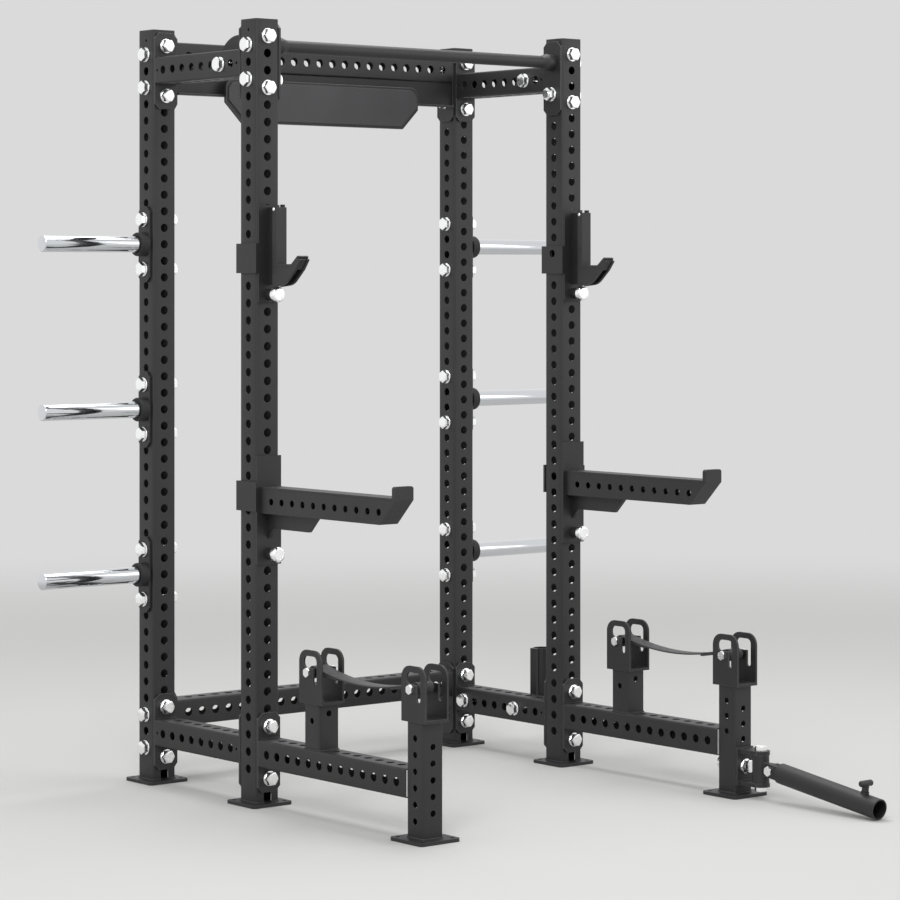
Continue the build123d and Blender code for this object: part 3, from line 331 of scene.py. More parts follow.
low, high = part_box("upright_front_left")
foot_level = low.z
front_first, front_count = UPRIGHT_FRONT_HOLES
side_first, side_count = UPRIGHT_SIDE_HOLES
upright = perforated(high.z - foot_level, (front_first - foot_level, front_count),
                     (side_first - foot_level, side_count), [cad_high.z - PILOT_INSET - foot_level])
bend = ARCH_WIDTH / 2
spring = ARCH_HEIGHT - bend
arch = [(-bend, ARCH_START), (bend, ARCH_START)]
arch += [(bend * cos(pi * i / ARCH_STEPS), spring + bend * sin(pi * i / ARCH_STEPS))
         for i in range(ARCH_STEPS + 1)]
facing = Matrix.Translation((0, -TUBE_SIDE / 2 + 2 * TUBE_WALL, 0)) @ Matrix.Rotation(pi / 2, 4, "X")
cutter = link("arch", prism(arch, 4 * TUBE_WALL, facing))
blank = link("upright", upright)
cut = blank.modifiers.new("arch", "BOOLEAN")
cut.object = cutter
cut.solver = "EXACT"
upright = plain(blank)
bpy.data.objects.remove(cutter)
for end in ("front", "rear"):
    for side in ("left", "right"):
        node = f"upright_{end}_{side}"
        low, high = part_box(node)
        mesh = upright.copy()
        mesh.transform(Matrix.Translation(((low.x + high.x) / 2, (low.y + high.y) / 2, low.z)))
        settle(ease(link(node + "_tube", mesh), HOLE_EDGE, HOLE_TURN), "rack", "powder_coat", node)
eased_copy("upright_caps", PLATE_EDGE, black_coat, "powder_coat")


# Base plates: 10 mm laser-cut plates with rounded corners and four floor anchor holes, welded
# under the uprights and the front posts, in the same coat.
eased_copy("base_plates", PLATE_EDGE, black_coat, "powder_coat")


# Side tubes, rear crossmembers and front feet: the same tube cut short, drilled on all four
# faces, and welded between bolted end plates with clipped corners. One bead runs round each weld.
SIDE_TUBE_HOLES = 8
CROSS_HOLES = 21
FOOT_HOLES = 13
PILOT_STEP = 0.030
END_PLATE = 0.003
END_PLATE_BACK = 0.0036
BEAD = 0.0035
BEAD_STEPS = 8
RIPPLE = 0.006
RIPPLE_CUT = 0.25
RIPPLE_SWELL = 0.1


def centred_row(length, count):
    """The first hole's distance from the end and the count, for a row in the middle of a tube."""
    return ((length - HOLE_PITCH * (count - 1)) / 2, count)


def rounded_square(side, corner, count=6):
    """The corner points of a square with round corners, from its lower right corner on."""
    spots, flat = [], side / 2 - corner
    for turn, (sx, sy) in enumerate(((1, -1), (1, 1), (-1, 1), (-1, -1))):
        for i in range(count + 1):
            a = (turn - 1) * pi / 2 + i / count * pi / 2
            spots.append((sx * flat + corner * cos(a), sy * flat + corner * sin(a)))
    return spots


def joined(name, meshes):
    """One mesh from several that wear the same finish."""
    shape = bmesh.new()
    for part in meshes:
        shape.from_mesh(part)
    mesh = bpy.data.meshes.new(name)
    for finish in meshes[0].materials:
        mesh.materials.append(finish)
    shape.to_mesh(mesh)
    shape.free()
    return mesh


def lay_tube(node, count, pilot_step=None, capped=False):
    """Makes a drilled tube in the place of a node that lies along X or Y."""
    low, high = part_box(node)
    length = max(high.x - low.x, high.y - low.y)
    middle = (low + high) / 2
    along, across = centred_row(length, count), centred_row(length, count - 1)
    lengthways = high.y - low.y > high.x - low.x
    pilots = [along[0] - pilot_step, length - along[0] + pilot_step] if pilot_step else []
    mesh = perforated(length, across if lengthways else along, along if lengthways else across, pilots)
    if capped:
        inset = rounded_square(TUBE_SIDE - 2 * TUBE_WALL, TUBE_CORNER - TUBE_WALL)
        plate = prism(inset, END_PLATE, Matrix.Translation((0, 0, length - END_PLATE_BACK)))
        mesh = joined(node, [mesh, plate])
    spin = Matrix.Rotation(pi / 2, 4, "X" if lengthways else "Y")
    mesh.transform(Matrix.Translation(middle) @ spin @ Matrix.Translation((0, 0, -length / 2)))
    settle(ease(link(node + "_tube", mesh), HOLE_EDGE, HOLE_TURN), "rack", "powder_coat", node)


for side in ("left", "right"):
    lay_tube(f"lower_side_tube_{side}", SIDE_TUBE_HOLES, PILOT_STEP)
    lay_tube(f"top_side_tube_{side}", SIDE_TUBE_HOLES, PILOT_STEP)
    lay_tube(f"foot_tube_{side}", FOOT_HOLES, capped=True)
lay_tube("rear_top_crossmember", CROSS_HOLES)
lay_tube("rear_bottom_crossmember", CROSS_HOLES)
for node in ("side_tube_flanges", "crossmember_flanges", "foot_flanges", "pull_up_bar_flanges",
             "peg_flanges"):
    eased_copy(node, PLATE_EDGE, black_coat, "powder_coat")

bead_tree, given = form_tree("weld beads", {
    "Paths": "Geometry", "Bead": "Float", "Ripple": "Float", "Finish": "Material"})
lines = grow(bead_tree, "GeometryNodeMeshToCurve", {0: given["Paths"]}).outputs[0]
fine = grow(bead_tree, "ShaderNodeMath", {0: given["Ripple"], 1: RIPPLE_CUT}, operation="MULTIPLY").outputs[0]
lines = grow(bead_tree, "GeometryNodeResampleCurve", {"Curve": lines, "Length": fine},
             mode="LENGTH").outputs[0]
along = grow(bead_tree, "GeometryNodeSplineParameter").outputs["Length"]
waves = grow(bead_tree, "ShaderNodeMath", {0: along, 1: given["Ripple"]}, operation="DIVIDE").outputs[0]
turns = grow(bead_tree, "ShaderNodeMath", {0: waves, 1: 2 * pi}, operation="MULTIPLY").outputs[0]
swell = grow(bead_tree, "ShaderNodeMath", {0: turns}, operation="SINE").outputs[0]
swell = grow(bead_tree, "ShaderNodeMath", {0: swell, 1: RIPPLE_SWELL, 2: 1.0},
             operation="MULTIPLY_ADD").outputs[0]
lines = grow(bead_tree, "GeometryNodeSetCurveRadius", {"Curve": lines, "Radius": swell}).outputs[0]
ring = grow(bead_tree, "GeometryNodeCurvePrimitiveCircle",
            {"Resolution": BEAD_STEPS, "Radius": given["Bead"]}).outputs[0]
swept = grow(bead_tree, "GeometryNodeCurveToMesh",
             {"Curve": lines, "Profile Curve": ring, "Scale": swell, "Fill Caps": True}).outputs[0]
close_tree(bead_tree, swept, given["Finish"])

seams = []
for side in ("left", "right"):
    for node in (f"lower_side_tube_{side}", f"top_side_tube_{side}", f"foot_tube_{side}"):
        low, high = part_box(node)
        for y in (high.y,) if "foot" in node else (low.y, high.y):
            for z in (low.z, high.z):
                seams.append([(low.x + TUBE_CORNER, y, z), (high.x - TUBE_CORNER, y, z)])
    for node in ("upright_front_", "upright_rear_", "strap_post_front_", "strap_post_rear_"):
        low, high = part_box(node + side)
        middle = (low + high) / 2
        outline = [(middle.x + x, middle.y + y, low.z)
                   for x, y in rounded_square(high.x - low.x, TUBE_CORNER)]
        if "upright" in node:
            outline.append((middle.x - ARCH_WIDTH / 2, low.y, low.z))
            outline.insert(0, (middle.x + ARCH_WIDTH / 2, low.y, low.z))
        else:
            outline.append(outline[0])
        seams.append(outline)
for node in ("rear_top_crossmember", "rear_bottom_crossmember"):
    low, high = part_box(node)
    for x in (low.x, high.x):
        for z in (low.z, high.z):
            seams.append([(x, low.y + TUBE_CORNER, z), (x, high.y - TUBE_CORNER, z)])
paths, pairs = [], []
for seam in seams:
    pairs += [(len(paths) + i, len(paths) + i + 1) for i in range(len(seam) - 1)]
    paths += seam
mesh = bpy.data.meshes.new("seams")
mesh.from_pydata(paths, pairs, [])
mesh = form(bead_tree, {"Bead": BEAD, "Ripple": RIPPLE, "Finish": black_coat}, mesh)
mesh.shade_smooth()
settle(link("frame_weld_beads", mesh), "rack", "powder_coat")


# Frame fasteners: M24 hexagon bolts, plain washers and nuts, cold forged and zinc plated bright.
# They clamp each end plate through the full tube.
HEX_FLATS = 0.036
HEAD_HEIGHT = 0.015
NUT_HEIGHT = 0.019
BOLT_SIDE = 0.024
WASHER_OUTER = 0.044
WASHER_INNER = 0.025
WASHER_THICK = 0.004
WASHER_EDGE = 0.0008
HEX_EDGE = 0.0006
CROWN_SHARE = 0.475
HEAD_SHARE = 0.6
CONE_STEPS = 48
SHANK_STEPS = 24
WASHER_STEPS = 40


def bright_metal(name, colour, dull, roughness, grain):
    """Bare plated metal: mirror-like with a soft uneven haze of the given grain, in metres."""
    metal, tree, shader, place = blank_finish(name)
    haze = grow(tree, "ShaderNodeTexNoise", {"Vector": place, "Scale": 1 / grain, "Detail": 4.0})
    tint = grow(tree, "ShaderNodeMix", {0: haze.outputs[0], 6: linear(colour), 7: linear(dull)},
                data_type="RGBA")
    gloss = grow(tree, "ShaderNodeMapRange",
                 {0: haze.outputs[0], **NOISE_SPREAD, 3: 0.7 * roughness, 4: 1.3 * roughness})
    feed(tree, shader, {"Base Color": tint.outputs[2], "Roughness": gloss.outputs[0], "Metallic": 1.0})
    return metal


zinc = bright_metal("bright zinc plate", "#fcfcfb", "#f0f1f3", 0.24, 0.008)


def islands(node):
    """The separate solids of a CAD node, each as a list of its points."""
    shape = bmesh.new()
    shape.from_mesh(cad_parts[node].data)
    bmesh.ops.remove_doubles(shape, verts=shape.verts, dist=SAME_POINT)
    seen, found = set(), []
    for first in shape.verts:
        if first in seen:
            continue
        seen.add(first)
        group, waiting = [], [first]
        while waiting:
            vert = waiting.pop()
            group.append(vert.co.copy())
            for edge in vert.link_edges:
                other = edge.other_vert(vert)
                if other not in seen:
                    seen.add(other)
                    waiting.append(other)
        found.append(group)
    shape.free()
    return found


def span(points):
    """Middle and size of a group of points."""
    low = Vector([min(p[i] for p in points) for i in range(3)])
    high = Vector([max(p[i] for p in points) for i in range(3)])
    return (low + high) / 2, high - low


def axis_of(size, pick):
    """The unit vector along the longest or the shortest side of a box."""
    chosen = pick(range(3), key=lambda i: size[i])
    return Vector([float(i == chosen) for i in range(3)])


def hexagon(tree, flats, height):
    """A hexagon prism from Z = 0 up, with its upper corners turned off by a 30 degree cone."""
    corner = grow(tree, "ShaderNodeMath", {0: flats, 1: 1 / sqrt(3)}, operation="MULTIPLY").outputs[0]
    crown = grow(tree, "ShaderNodeMath", {0: flats, 1: CROWN_SHARE}, operation="MULTIPLY").outputs[0]
    flare = grow(tree, "ShaderNodeMath", {0: height, 1: sqrt(3), 2: crown},
                 operation="MULTIPLY_ADD").outputs[0]
    block = grow(tree, "GeometryNodeMeshCylinder", {"Vertices": 6, "Radius": corner, "Depth": height})
    cone = grow(tree, "GeometryNodeMeshCone",
                {"Vertices": CONE_STEPS, "Radius Top": crown, "Radius Bottom": flare, "Depth": height})
    half = grow(tree, "ShaderNodeMath", {0: height, 1: 0.5}, operation="MULTIPLY").outputs[0]
    up = grow(tree, "ShaderNodeCombineXYZ", {2: half}).outputs[0]
    raised = grow(tree, "GeometryNodeTransform", {"Geometry": block.outputs[0], "Translation": up})
    head = grow(tree, "GeometryNodeMeshBoolean", {"Mesh 2": [raised.outputs[0], cone.outputs[0]]},
                operation="INTERSECT", solver="EXACT")
    return head.outputs[0]


bolt_tree, given = form_tree("hexagon bolts", {
    "Points": "Geometry", "Flats": "Float", "Head": "Float", "Shank": "Float", "Finish": "Material"})
head = hexagon(bolt_tree, given["Flats"], given["Head"])
down = grow(bolt_tree, "GeometryNodeTransform", {"Geometry": head, "Rotation": (pi, 0, 0)}).outputs[0]
thick = grow(bolt_tree, "ShaderNodeMath", {0: given["Shank"], 1: 0.5}, operation="MULTIPLY").outputs[0]
rod = grow(bolt_tree, "GeometryNodeMeshCylinder", {"Vertices": SHANK_STEPS, "Radius": thick, "Depth": 1.0})
rod = grow(bolt_tree, "GeometryNodeTransform",
           {"Geometry": rod.outputs[0], "Translation": (0, 0, 0.5)}).outputs[0]
reach = grow(bolt_tree, "GeometryNodeInputNamedAttribute", {"Name": "reach"}, data_type="FLOAT")
stretch = grow(bolt_tree, "ShaderNodeCombineXYZ", {0: 1.0, 1: 1.0, 2: reach.outputs[0]}).outputs[0]
pieces = [placed(bolt_tree, given["Points"], down), placed(bolt_tree, given["Points"], rod, stretch)]
close_tree(bolt_tree, grow(bolt_tree, "GeometryNodeJoinGeometry", {0: pieces}).outputs[0], given["Finish"])

nut_tree, given = form_tree("hexagon nuts", {
    "Points": "Geometry", "Flats": "Float", "Height": "Float", "Finish": "Material"})
close_tree(nut_tree, placed(nut_tree, given["Points"], hexagon(nut_tree, given["Flats"], given["Height"])),
           given["Finish"])

washer_tree, given = form_tree("plain washers", {
    "Points": "Geometry", "Middle": "Float", "Band": "Float", "Thick": "Float", "Edge": "Float",
    "Finish": "Material"})
ring = grow(washer_tree, "GeometryNodeCurvePrimitiveCircle",
            {"Resolution": WASHER_STEPS, "Radius": given["Middle"]})
strip = grow(washer_tree, "GeometryNodeCurvePrimitiveQuadrilateral",
             {"Width": given["Band"], "Height": given["Thick"]})
strip = grow(washer_tree, "GeometryNodeFilletCurve",
             {"Curve": strip.outputs[0], "Radius": given["Edge"], "Count": 2}, mode="POLY")
disc = grow(washer_tree, "GeometryNodeCurveToMesh",
            {"Curve": ring.outputs[0], "Profile Curve": strip.outputs[0]})
close_tree(washer_tree, placed(washer_tree, given["Points"], disc.outputs[0]), given["Finish"])

bolt_marks = []
for points in islands("frame_bolts"):
    middle, size = span(points)
    line, length = axis_of(size, max), max(size)
    wide = [p for p in points if (p - middle).cross(line).length > HEAD_SHARE * BOLT_SIDE]
    if (span(wide)[0] - middle).dot(line) > 0:
        line = -line
    bolt_marks.append((middle - line * (length / 2 - HEAD_HEIGHT), line, length - HEAD_HEIGHT))
mesh = form(bolt_tree, {"Flats": HEX_FLATS, "Head": HEAD_HEIGHT, "Shank": BOLT_SIDE, "Finish": zinc},
            marks(bolt_marks))
settle(ease(link("frame_bolts_hex", mesh), HEX_EDGE), "rack", "bright_zinc", "frame_bolts")
nut_marks = []
for points in islands("frame_nuts"):
    middle, size = span(points)
    line = min(bolt_marks, key=lambda mark: (mark[0] + mark[1] * mark[2] - middle).length)[1]
    nut_marks.append((middle - line * NUT_HEIGHT / 2, line, 0.0))
mesh = form(nut_tree, {"Flats": HEX_FLATS, "Height": NUT_HEIGHT, "Finish": zinc}, marks(nut_marks))
settle(ease(link("frame_nuts_hex", mesh), HEX_EDGE), "rack", "bright_zinc", "frame_nuts")
washer_marks = [(span(points)[0], axis_of(span(points)[1], min), 0.0) for points in islands("frame_washers")]
mesh = form(washer_tree, {
    "Middle": (WASHER_OUTER + WASHER_INNER) / 4, "Band": (WASHER_OUTER - WASHER_INNER) / 2,
    "Thick": WASHER_THICK, "Edge": WASHER_EDGE, "Finish": zinc}, marks(washer_marks))
mesh.shade_smooth()
mesh.set_sharp_from_angle(angle=radians(HOLE_TURN))
settle(link("frame_washers_flat", mesh), "rack", "bright_zinc", "frame_washers")


# Sign carrier: a folded sheet rail hung under the rear top tube, with a bare dark grey plate on a
# thicker black backing, stood off in front of it.
grey_coat = powder_coat("matte dark grey powder coat", "#353537", "#3f3f41", 0.45)
for node in ("sign_rail", "sign_backing"):
    eased_copy(node, PLATE_EDGE, black_coat, "powder_coat")
eased_copy("sign_face", PLATE_EDGE, grey_coat, "sign_grey")
eased_copy("sign_standoffs", HOLE_EDGE, black_coat, "powder_coat")


# Pull-up bar and corner gusset: a round bar with a turned collar at each end, clamped between the
# front uprights by a bolt in either end, and a flame-cut plate beside it on the left. Both are coated.
BAR_RADIUS = 0.019
BAR_COLLAR = 0.026
BAR_TAPER = 0.020
TAPER_TURN = 12


def turned(profile, place, finish, name, count=48, least=35):
    """A shape of revolution about the place's Z, from (radius, height) pairs."""
    shape = bmesh.new()
    rows = []
    for r, z in profile:
        if r == 0:
            rows.append([shape.verts.new((0, 0, z))])
        else:
            rows.append([shape.verts.new((r * cos(2 * pi * i / count), r * sin(2 * pi * i / count), z))
                         for i in range(count)])
    for a, b in zip(rows, rows[1:]):
        for i in range(count):
            corners = [a[i % len(a)], a[(i + 1) % len(a)], b[(i + 1) % len(b)], b[i % len(b)]]
            shape.faces.new(list(dict.fromkeys(corners)))
    bmesh.ops.recalc_face_normals(shape, faces=shape.faces)
    bmesh.ops.transform(shape, matrix=place, verts=shape.verts)
    mesh = bpy.data.meshes.new(name)
    shape.to_mesh(mesh)
    shape.free()
    mesh.materials.append(finish)
    mesh.shade_smooth()
    mesh.set_sharp_from_angle(angle=radians(least))
    return mesh


low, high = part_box("pull_up_bar")
along_x = Matrix.Rotation(pi / 2, 4, "Y")
radius, length = (high.z - low.z) / 2, high.x - low.x
place = Matrix.Translation((low.x, (low.y + high.y) / 2, (low.z + high.z) / 2)) @ along_x
collar = [(0, 0), (radius, 0), (radius, BAR_COLLAR), (BAR_RADIUS, BAR_COLLAR + BAR_TAPER)]
profile = collar + [(r, length - z) for r, z in reversed(collar)]
bar = turned(profile, place, black_coat, "pull_up_bar", least=TAPER_TURN)
settle(link("pull_up_bar_round", bar), "rack", "powder_coat", "pull_up_bar")
eased_copy("corner_gusset", PLATE_EDGE, black_coat, "powder_coat")


# Plate pegs: chrome plated steel tubes with a closed rounded tip, welded to bolted plates on the
# rear uprights. A moulded rubber collar round each root keeps plates off the upright.
PEG_RADIUS = 0.025
PEG_EDGE = 0.003
PEG_ROOT = 0.001
COLLAR_LENGTH = 0.028
COLLAR_RADIUS = 0.036
COLLAR_ROUND = 0.004
COLLAR_SHOULDER = 0.0012
BORE_GAP = 0.0002
BORE_ROUND = 0.002


def chrome_plate():
    """Polished chrome on drawn tube: a mirror with faint draw lines along the tube.
    The lines are under 0.1 mm on the real tube, and are drawn 2 mm wide so that they show."""
    length, width = 0.25, 0.002
    metal, tree, shader, place = blank_finish("polished chrome plate")
    drawn = grow(tree, "ShaderNodeMapping", {"Vector": place, "Scale": (1 / length, 1 / width, 1 / width)})
    lines = grow(tree, "ShaderNodeTexNoise", {"Vector": drawn.outputs[0], "Scale": 1.0, "Detail": 2.0})
    tint = grow(tree, "ShaderNodeMix", {0: lines.outputs[0], 6: linear("#dcdee1"), 7: linear("#c4c7cb")},
                data_type="RGBA")
    gloss = grow(tree, "ShaderNodeMapRange", {0: lines.outputs[0], **NOISE_SPREAD, 3: 0.04, 4: 0.11})
    feed(tree, shader, {"Base Color": tint.outputs[2], "Roughness": gloss.outputs[0], "Metallic": 1.0})
    return metal


def dull_polymer(name, dark, light, pebble, bloom, roughness):
    """Rubber, plastic or yarn with no shine of its own: a fine pebble that breaks up the highlight and a
    dusty bloom that lifts the black unevenly. Both sizes are in metres, the pebble coarse enough to show."""
    soft, tree, shader, place = blank_finish(name)
    grain = grow(tree, "ShaderNodeTexNoise", {"Vector": place, "Scale": 1 / pebble, "Detail": 2.0})
    dust = grow(tree, "ShaderNodeTexNoise", {"Vector": place, "Scale": 1 / bloom, "Detail": 3.0})
    tint = grow(tree, "ShaderNodeMix", {0: dust.outputs[0], 6: linear(dark), 7: linear(light)},
                data_type="RGBA")
    relief = grow(tree, "ShaderNodeBump", {"Height": grain.outputs[0], "Strength": 0.3, "Distance": 0.0004})
    gloss = grow(tree, "ShaderNodeMapRange",
                 {0: grain.outputs[0], **NOISE_SPREAD, 3: roughness - 0.08, 4: roughness + 0.08})
    feed(tree, shader, {"Base Color": tint.outputs[2], "Roughness": gloss.outputs[0],
                        "Normal": relief.outputs[0]})
    return soft


chrome = chrome_plate()
rubber = dull_polymer("moulded black rubber", "#131314", "#1b1b1c", 0.002, 0.03, 0.7)
for side, sign in (("left", -1), ("right", 1)):
    pegs, outward = [], Matrix.Rotation(sign * pi / 2, 4, "Y")
    for points in islands(f"plate_pegs_{side}"):
        middle, size = span(points)
        root = middle - Vector((sign * size.x / 2, 0, 0))
        profile = [(0, PEG_ROOT), (PEG_RADIUS, PEG_ROOT), (PEG_RADIUS, COLLAR_LENGTH)]
        profile += [(PEG_RADIUS - PEG_EDGE * (1 - cos(a)), size.x - PEG_EDGE * (1 - sin(a)))
                    for a in (pi / 8 * i for i in range(5))]
        profile.append((0, size.x))
        pegs.append(turned(profile, Matrix.Translation(root) @ outward, chrome, "peg"))
    peg_set = link(f"plate_pegs_{side}_chrome", joined(f"plate_pegs_{side}_chrome", pegs))
    settle(peg_set, "rack", "chrome_peg", f"plate_pegs_{side}")
bore, rim = PEG_RADIUS + BORE_GAP, COLLAR_RADIUS
profile = [(bore, 0), (rim, 0), (rim, COLLAR_LENGTH - COLLAR_ROUND),
           (rim - COLLAR_SHOULDER, COLLAR_LENGTH - COLLAR_SHOULDER), (rim - COLLAR_ROUND, COLLAR_LENGTH),
           (bore + BORE_ROUND, COLLAR_LENGTH), (bore, COLLAR_LENGTH - BORE_ROUND), (bore, 0)]
collars = []
for points in islands("peg_collars"):
    middle, size = span(points)
    sign = 1 if middle.x > 0 else -1
    root = middle - Vector((sign * size.x / 2, 0, 0))
    place = Matrix.Translation(root) @ Matrix.Rotation(sign * pi / 2, 4, "Y")
    collars.append(turned(profile, place, rubber, "collar"))
collar_set = link("peg_collars_rubber", joined("peg_collars_rubber", collars))
settle(collar_set, "rack", "black_rubber", "peg_collars")


# Strap posts: short 70 mm tubes with rows of small holes. The front pair stands on the floor and the
# rear pair on the feet. Each carries a folded bracket with a keyhole window in both cheeks.
for side in ("left", "right"):
    for end in ("front", "rear"):
        eased_copy(f"strap_post_{end}_{side}", HOLE_EDGE, black_coat, "powder_coat")
    eased_copy(f"strap_brackets_{side}", HOLE_EDGE, black_coat, "powder_coat")


# Strap pins, rollers and straps: a zinc pin with hexagon ends across each bracket, a rubber roller
# on it, and a heavy nylon webbing strap looped round both rollers, sewn back on itself, that sags.
WEB_THICK = 0.0046
WEB_WIDTH = 0.052
WEB_SAG = 0.030
SELVEDGE_IN = 0.3
SELVEDGE_UP = 0.75
WEB_TURN = 60
LOOP_GAP = 0.0004
LOOP_REACH = 0.058
LOOP_LEAVE = radians(70)
LOOP_PULL = 0.024
TAIL = 0.052
TAIL_STEPS = 10
BEND_STEPS = 12
WRAP_STEPS = 24
RUN_STEPS = 60
SEAM_INSET = 0.005
STITCH = 0.0042
STITCH_SHARE = 0.42
STITCH_RADIUS = 0.0006
ROLLER_WALL = 0.0055
ROLLER_EDGE = 0.001
ROLLER_STEPS = 32


def nylon_webbing():
    """Woven nylon: fat ribs along the strap crossed by finer picks, in a dark satin yarn.
    The real picks are about 1.2 mm apart, and are drawn at 4 mm so that they show."""
    rib, pick, fluff = 0.0065, 0.004, 0.004
    cloth, tree, shader, place = blank_finish("woven nylon webbing")
    lie = grow(tree, "ShaderNodeUVMap", uv_map="lie").outputs[0]
    parts = grow(tree, "ShaderNodeSeparateXYZ", {0: lie})
    waves = []
    for output, width in ((0, rib), (1, pick)):
        turns = grow(tree, "ShaderNodeMath", {0: parts.outputs[output], 1: 2 * pi / width},
                     operation="MULTIPLY")
        waves.append(grow(tree, "ShaderNodeMath", {0: turns.outputs[0]}, operation="SINE").outputs[0])
    weave = grow(tree, "ShaderNodeMath", {0: waves[0], 1: waves[1]}, operation="MULTIPLY").outputs[0]
    weave = grow(tree, "ShaderNodeMath", {0: weave, 1: 0.6, 2: waves[0]}, operation="MULTIPLY_ADD").outputs[0]
    fuzz = grow(tree, "ShaderNodeTexNoise", {"Vector": place, "Scale": 1 / fluff, "Detail": 3.0})
    share = grow(tree, "ShaderNodeMapRange", {0: weave, 1: -1.6, 2: 1.6})
    mixed = grow(tree, "ShaderNodeMath", {0: share.outputs[0], 1: fuzz.outputs[0]}, operation="MULTIPLY")
    tint = grow(tree, "ShaderNodeMix", {0: mixed.outputs[0], 6: linear("#1d1d1f"), 7: linear("#3a3a3d")},
                data_type="RGBA")
    relief = grow(tree, "ShaderNodeBump", {"Height": weave, "Strength": 0.5, "Distance": 0.0005})
    gloss = grow(tree, "ShaderNodeMapRange", {0: fuzz.outputs[0], **NOISE_SPREAD, 3: 0.55, 4: 0.75})
    feed(tree, shader, {"Base Color": tint.outputs[2], "Roughness": gloss.outputs[0],
                        "Normal": relief.outputs[0], "Sheen Weight": 0.15})
    return cloth


def ribbon(path, width, thick, middle_x, name, finish):
    """A flat band along (y, z) points, with soft selvedges and its own lengthwise map."""
    half, edge = width / 2, thick / 2
    inset, rise = SELVEDGE_IN * edge, SELVEDGE_UP * edge
    section = [(-half, 0), (-half + inset, rise), (-half + edge, edge), (0, edge), (half - edge, edge),
               (half - inset, rise), (half, 0), (half - inset, -rise), (half - edge, -edge), (0, -edge),
               (-half + edge, -edge), (-half + inset, -rise)]
    shape = bmesh.new()
    lie = shape.loops.layers.uv.new("lie")
    rows, lengths, run = [], [], 0.0
    for i, (y, z) in enumerate(path):
        before, after = path[max(i - 1, 0)], path[min(i + 1, len(path) - 1)]
        ahead = Vector((after[0] - before[0], after[1] - before[1])).normalized()
        if i:
            run += (Vector(path[i]) - Vector(path[i - 1])).length
        lengths.append(run)
        rows.append([shape.verts.new((middle_x + a, y - b * ahead.y, z + b * ahead.x))
                     for a, b in section])
    count = len(section)
    for i in range(len(rows) - 1):
        for k in range(count):
            n = (k + 1) % count
            face = shape.faces.new((rows[i][k], rows[i][n], rows[i + 1][n], rows[i + 1][k]))
            spots = ((k, i), (n, i), (n, i + 1), (k, i + 1))
            for loop, (a, b) in zip(face.loops, spots):
                loop[lie].uv = (section[a][0], lengths[b])
    for row in (rows[0], rows[-1]):
        face = shape.faces.new(row)
        for loop, point in zip(face.loops, section):
            loop[lie].uv = point
    bmesh.ops.recalc_face_normals(shape, faces=shape.faces)
    mesh = bpy.data.meshes.new(name)
    shape.to_mesh(mesh)
    shape.free()
    mesh.materials.append(finish)
    mesh.shade_smooth()
    mesh.set_sharp_from_angle(angle=radians(WEB_TURN))
    return mesh, run


def sagging_run(chord, radius):
    """A strap's free run between two rollers: where it starts, its length and its lean there, and functions
    for its height and its slope at a distance in from a roller's axis."""
    lean = 0.0
    for _ in range(6):
        free = chord - 2 * radius * sin(lean)
        lean = atan(4 * WEB_SAG / free)
    begin, crest = radius * sin(lean), radius * cos(lean)

    def level(d):
        return crest - WEB_SAG * (1 - ((2 * (d - begin) - free) / free) ** 2)

    def slope(d):
        return 4 * WEB_SAG * (2 * (d - begin) - free) / free ** 2

    return begin, free, lean, level, slope


def strap_end(radius, lean, level, slope):
    """Half of a strap's line from its sewn tail to the start of its run, as distances in from the roller's
    axis and heights above it: under the run, round the roller's far side and over its top."""
    tail = [LOOP_REACH + TAIL * (1 - i / TAIL_STEPS) for i in range(TAIL_STEPS + 1)]
    under = [(d, level(d) - WEB_THICK) for d in tail]
    leave = Vector((radius * cos(LOOP_LEAVE), -radius * sin(LOOP_LEAVE)))
    meet = Vector(under[-1])
    first = meet - Vector((1, slope(LOOP_REACH))).normalized() * LOOP_PULL
    second = leave + Vector((sin(LOOP_LEAVE), cos(LOOP_LEAVE))) * LOOP_PULL
    for i in range(1, BEND_STEPS + 1):
        t = i / BEND_STEPS
        spot = (1 - t) ** 3 * meet + 3 * t * (1 - t) ** 2 * first
        spot += 3 * t * t * (1 - t) * second + t ** 3 * leave
        under.append((spot.x, spot.y))
    turn = LOOP_LEAVE - 1.5 * pi - lean
    for i in range(1, WRAP_STEPS + 1):
        a = turn * i / WRAP_STEPS - LOOP_LEAVE
        under.append((radius * cos(a), radius * sin(a)))
    return under


webbing = nylon_webbing()
thread = dull_polymer("bonded polyester thread", "#3c3c3e", "#4d4d50", 0.0012, 0.004, 0.6)
stitch_tree, given = form_tree("stitches", {
    "Points": "Geometry", "Length": "Float", "Radius": "Float", "Finish": "Material"})
bead = grow(stitch_tree, "GeometryNodeMeshUVSphere", {"Segments": 6, "Rings": 4, "Radius": 1.0}).outputs[0]
half = grow(stitch_tree, "ShaderNodeMath", {0: given["Length"], 1: STITCH_SHARE},
            operation="MULTIPLY").outputs[0]
shape = grow(stitch_tree, "ShaderNodeCombineXYZ",
             {0: given["Radius"], 1: given["Radius"], 2: half}).outputs[0]
close_tree(stitch_tree, placed(stitch_tree, given["Points"], bead, shape), given["Finish"])
rollers = sorted((span(points) for points in islands("strap_rollers")), key=lambda found: found[0].y)
roller_radius = rollers[0][1].z / 2
loop_radius = roller_radius + LOOP_GAP + WEB_THICK / 2
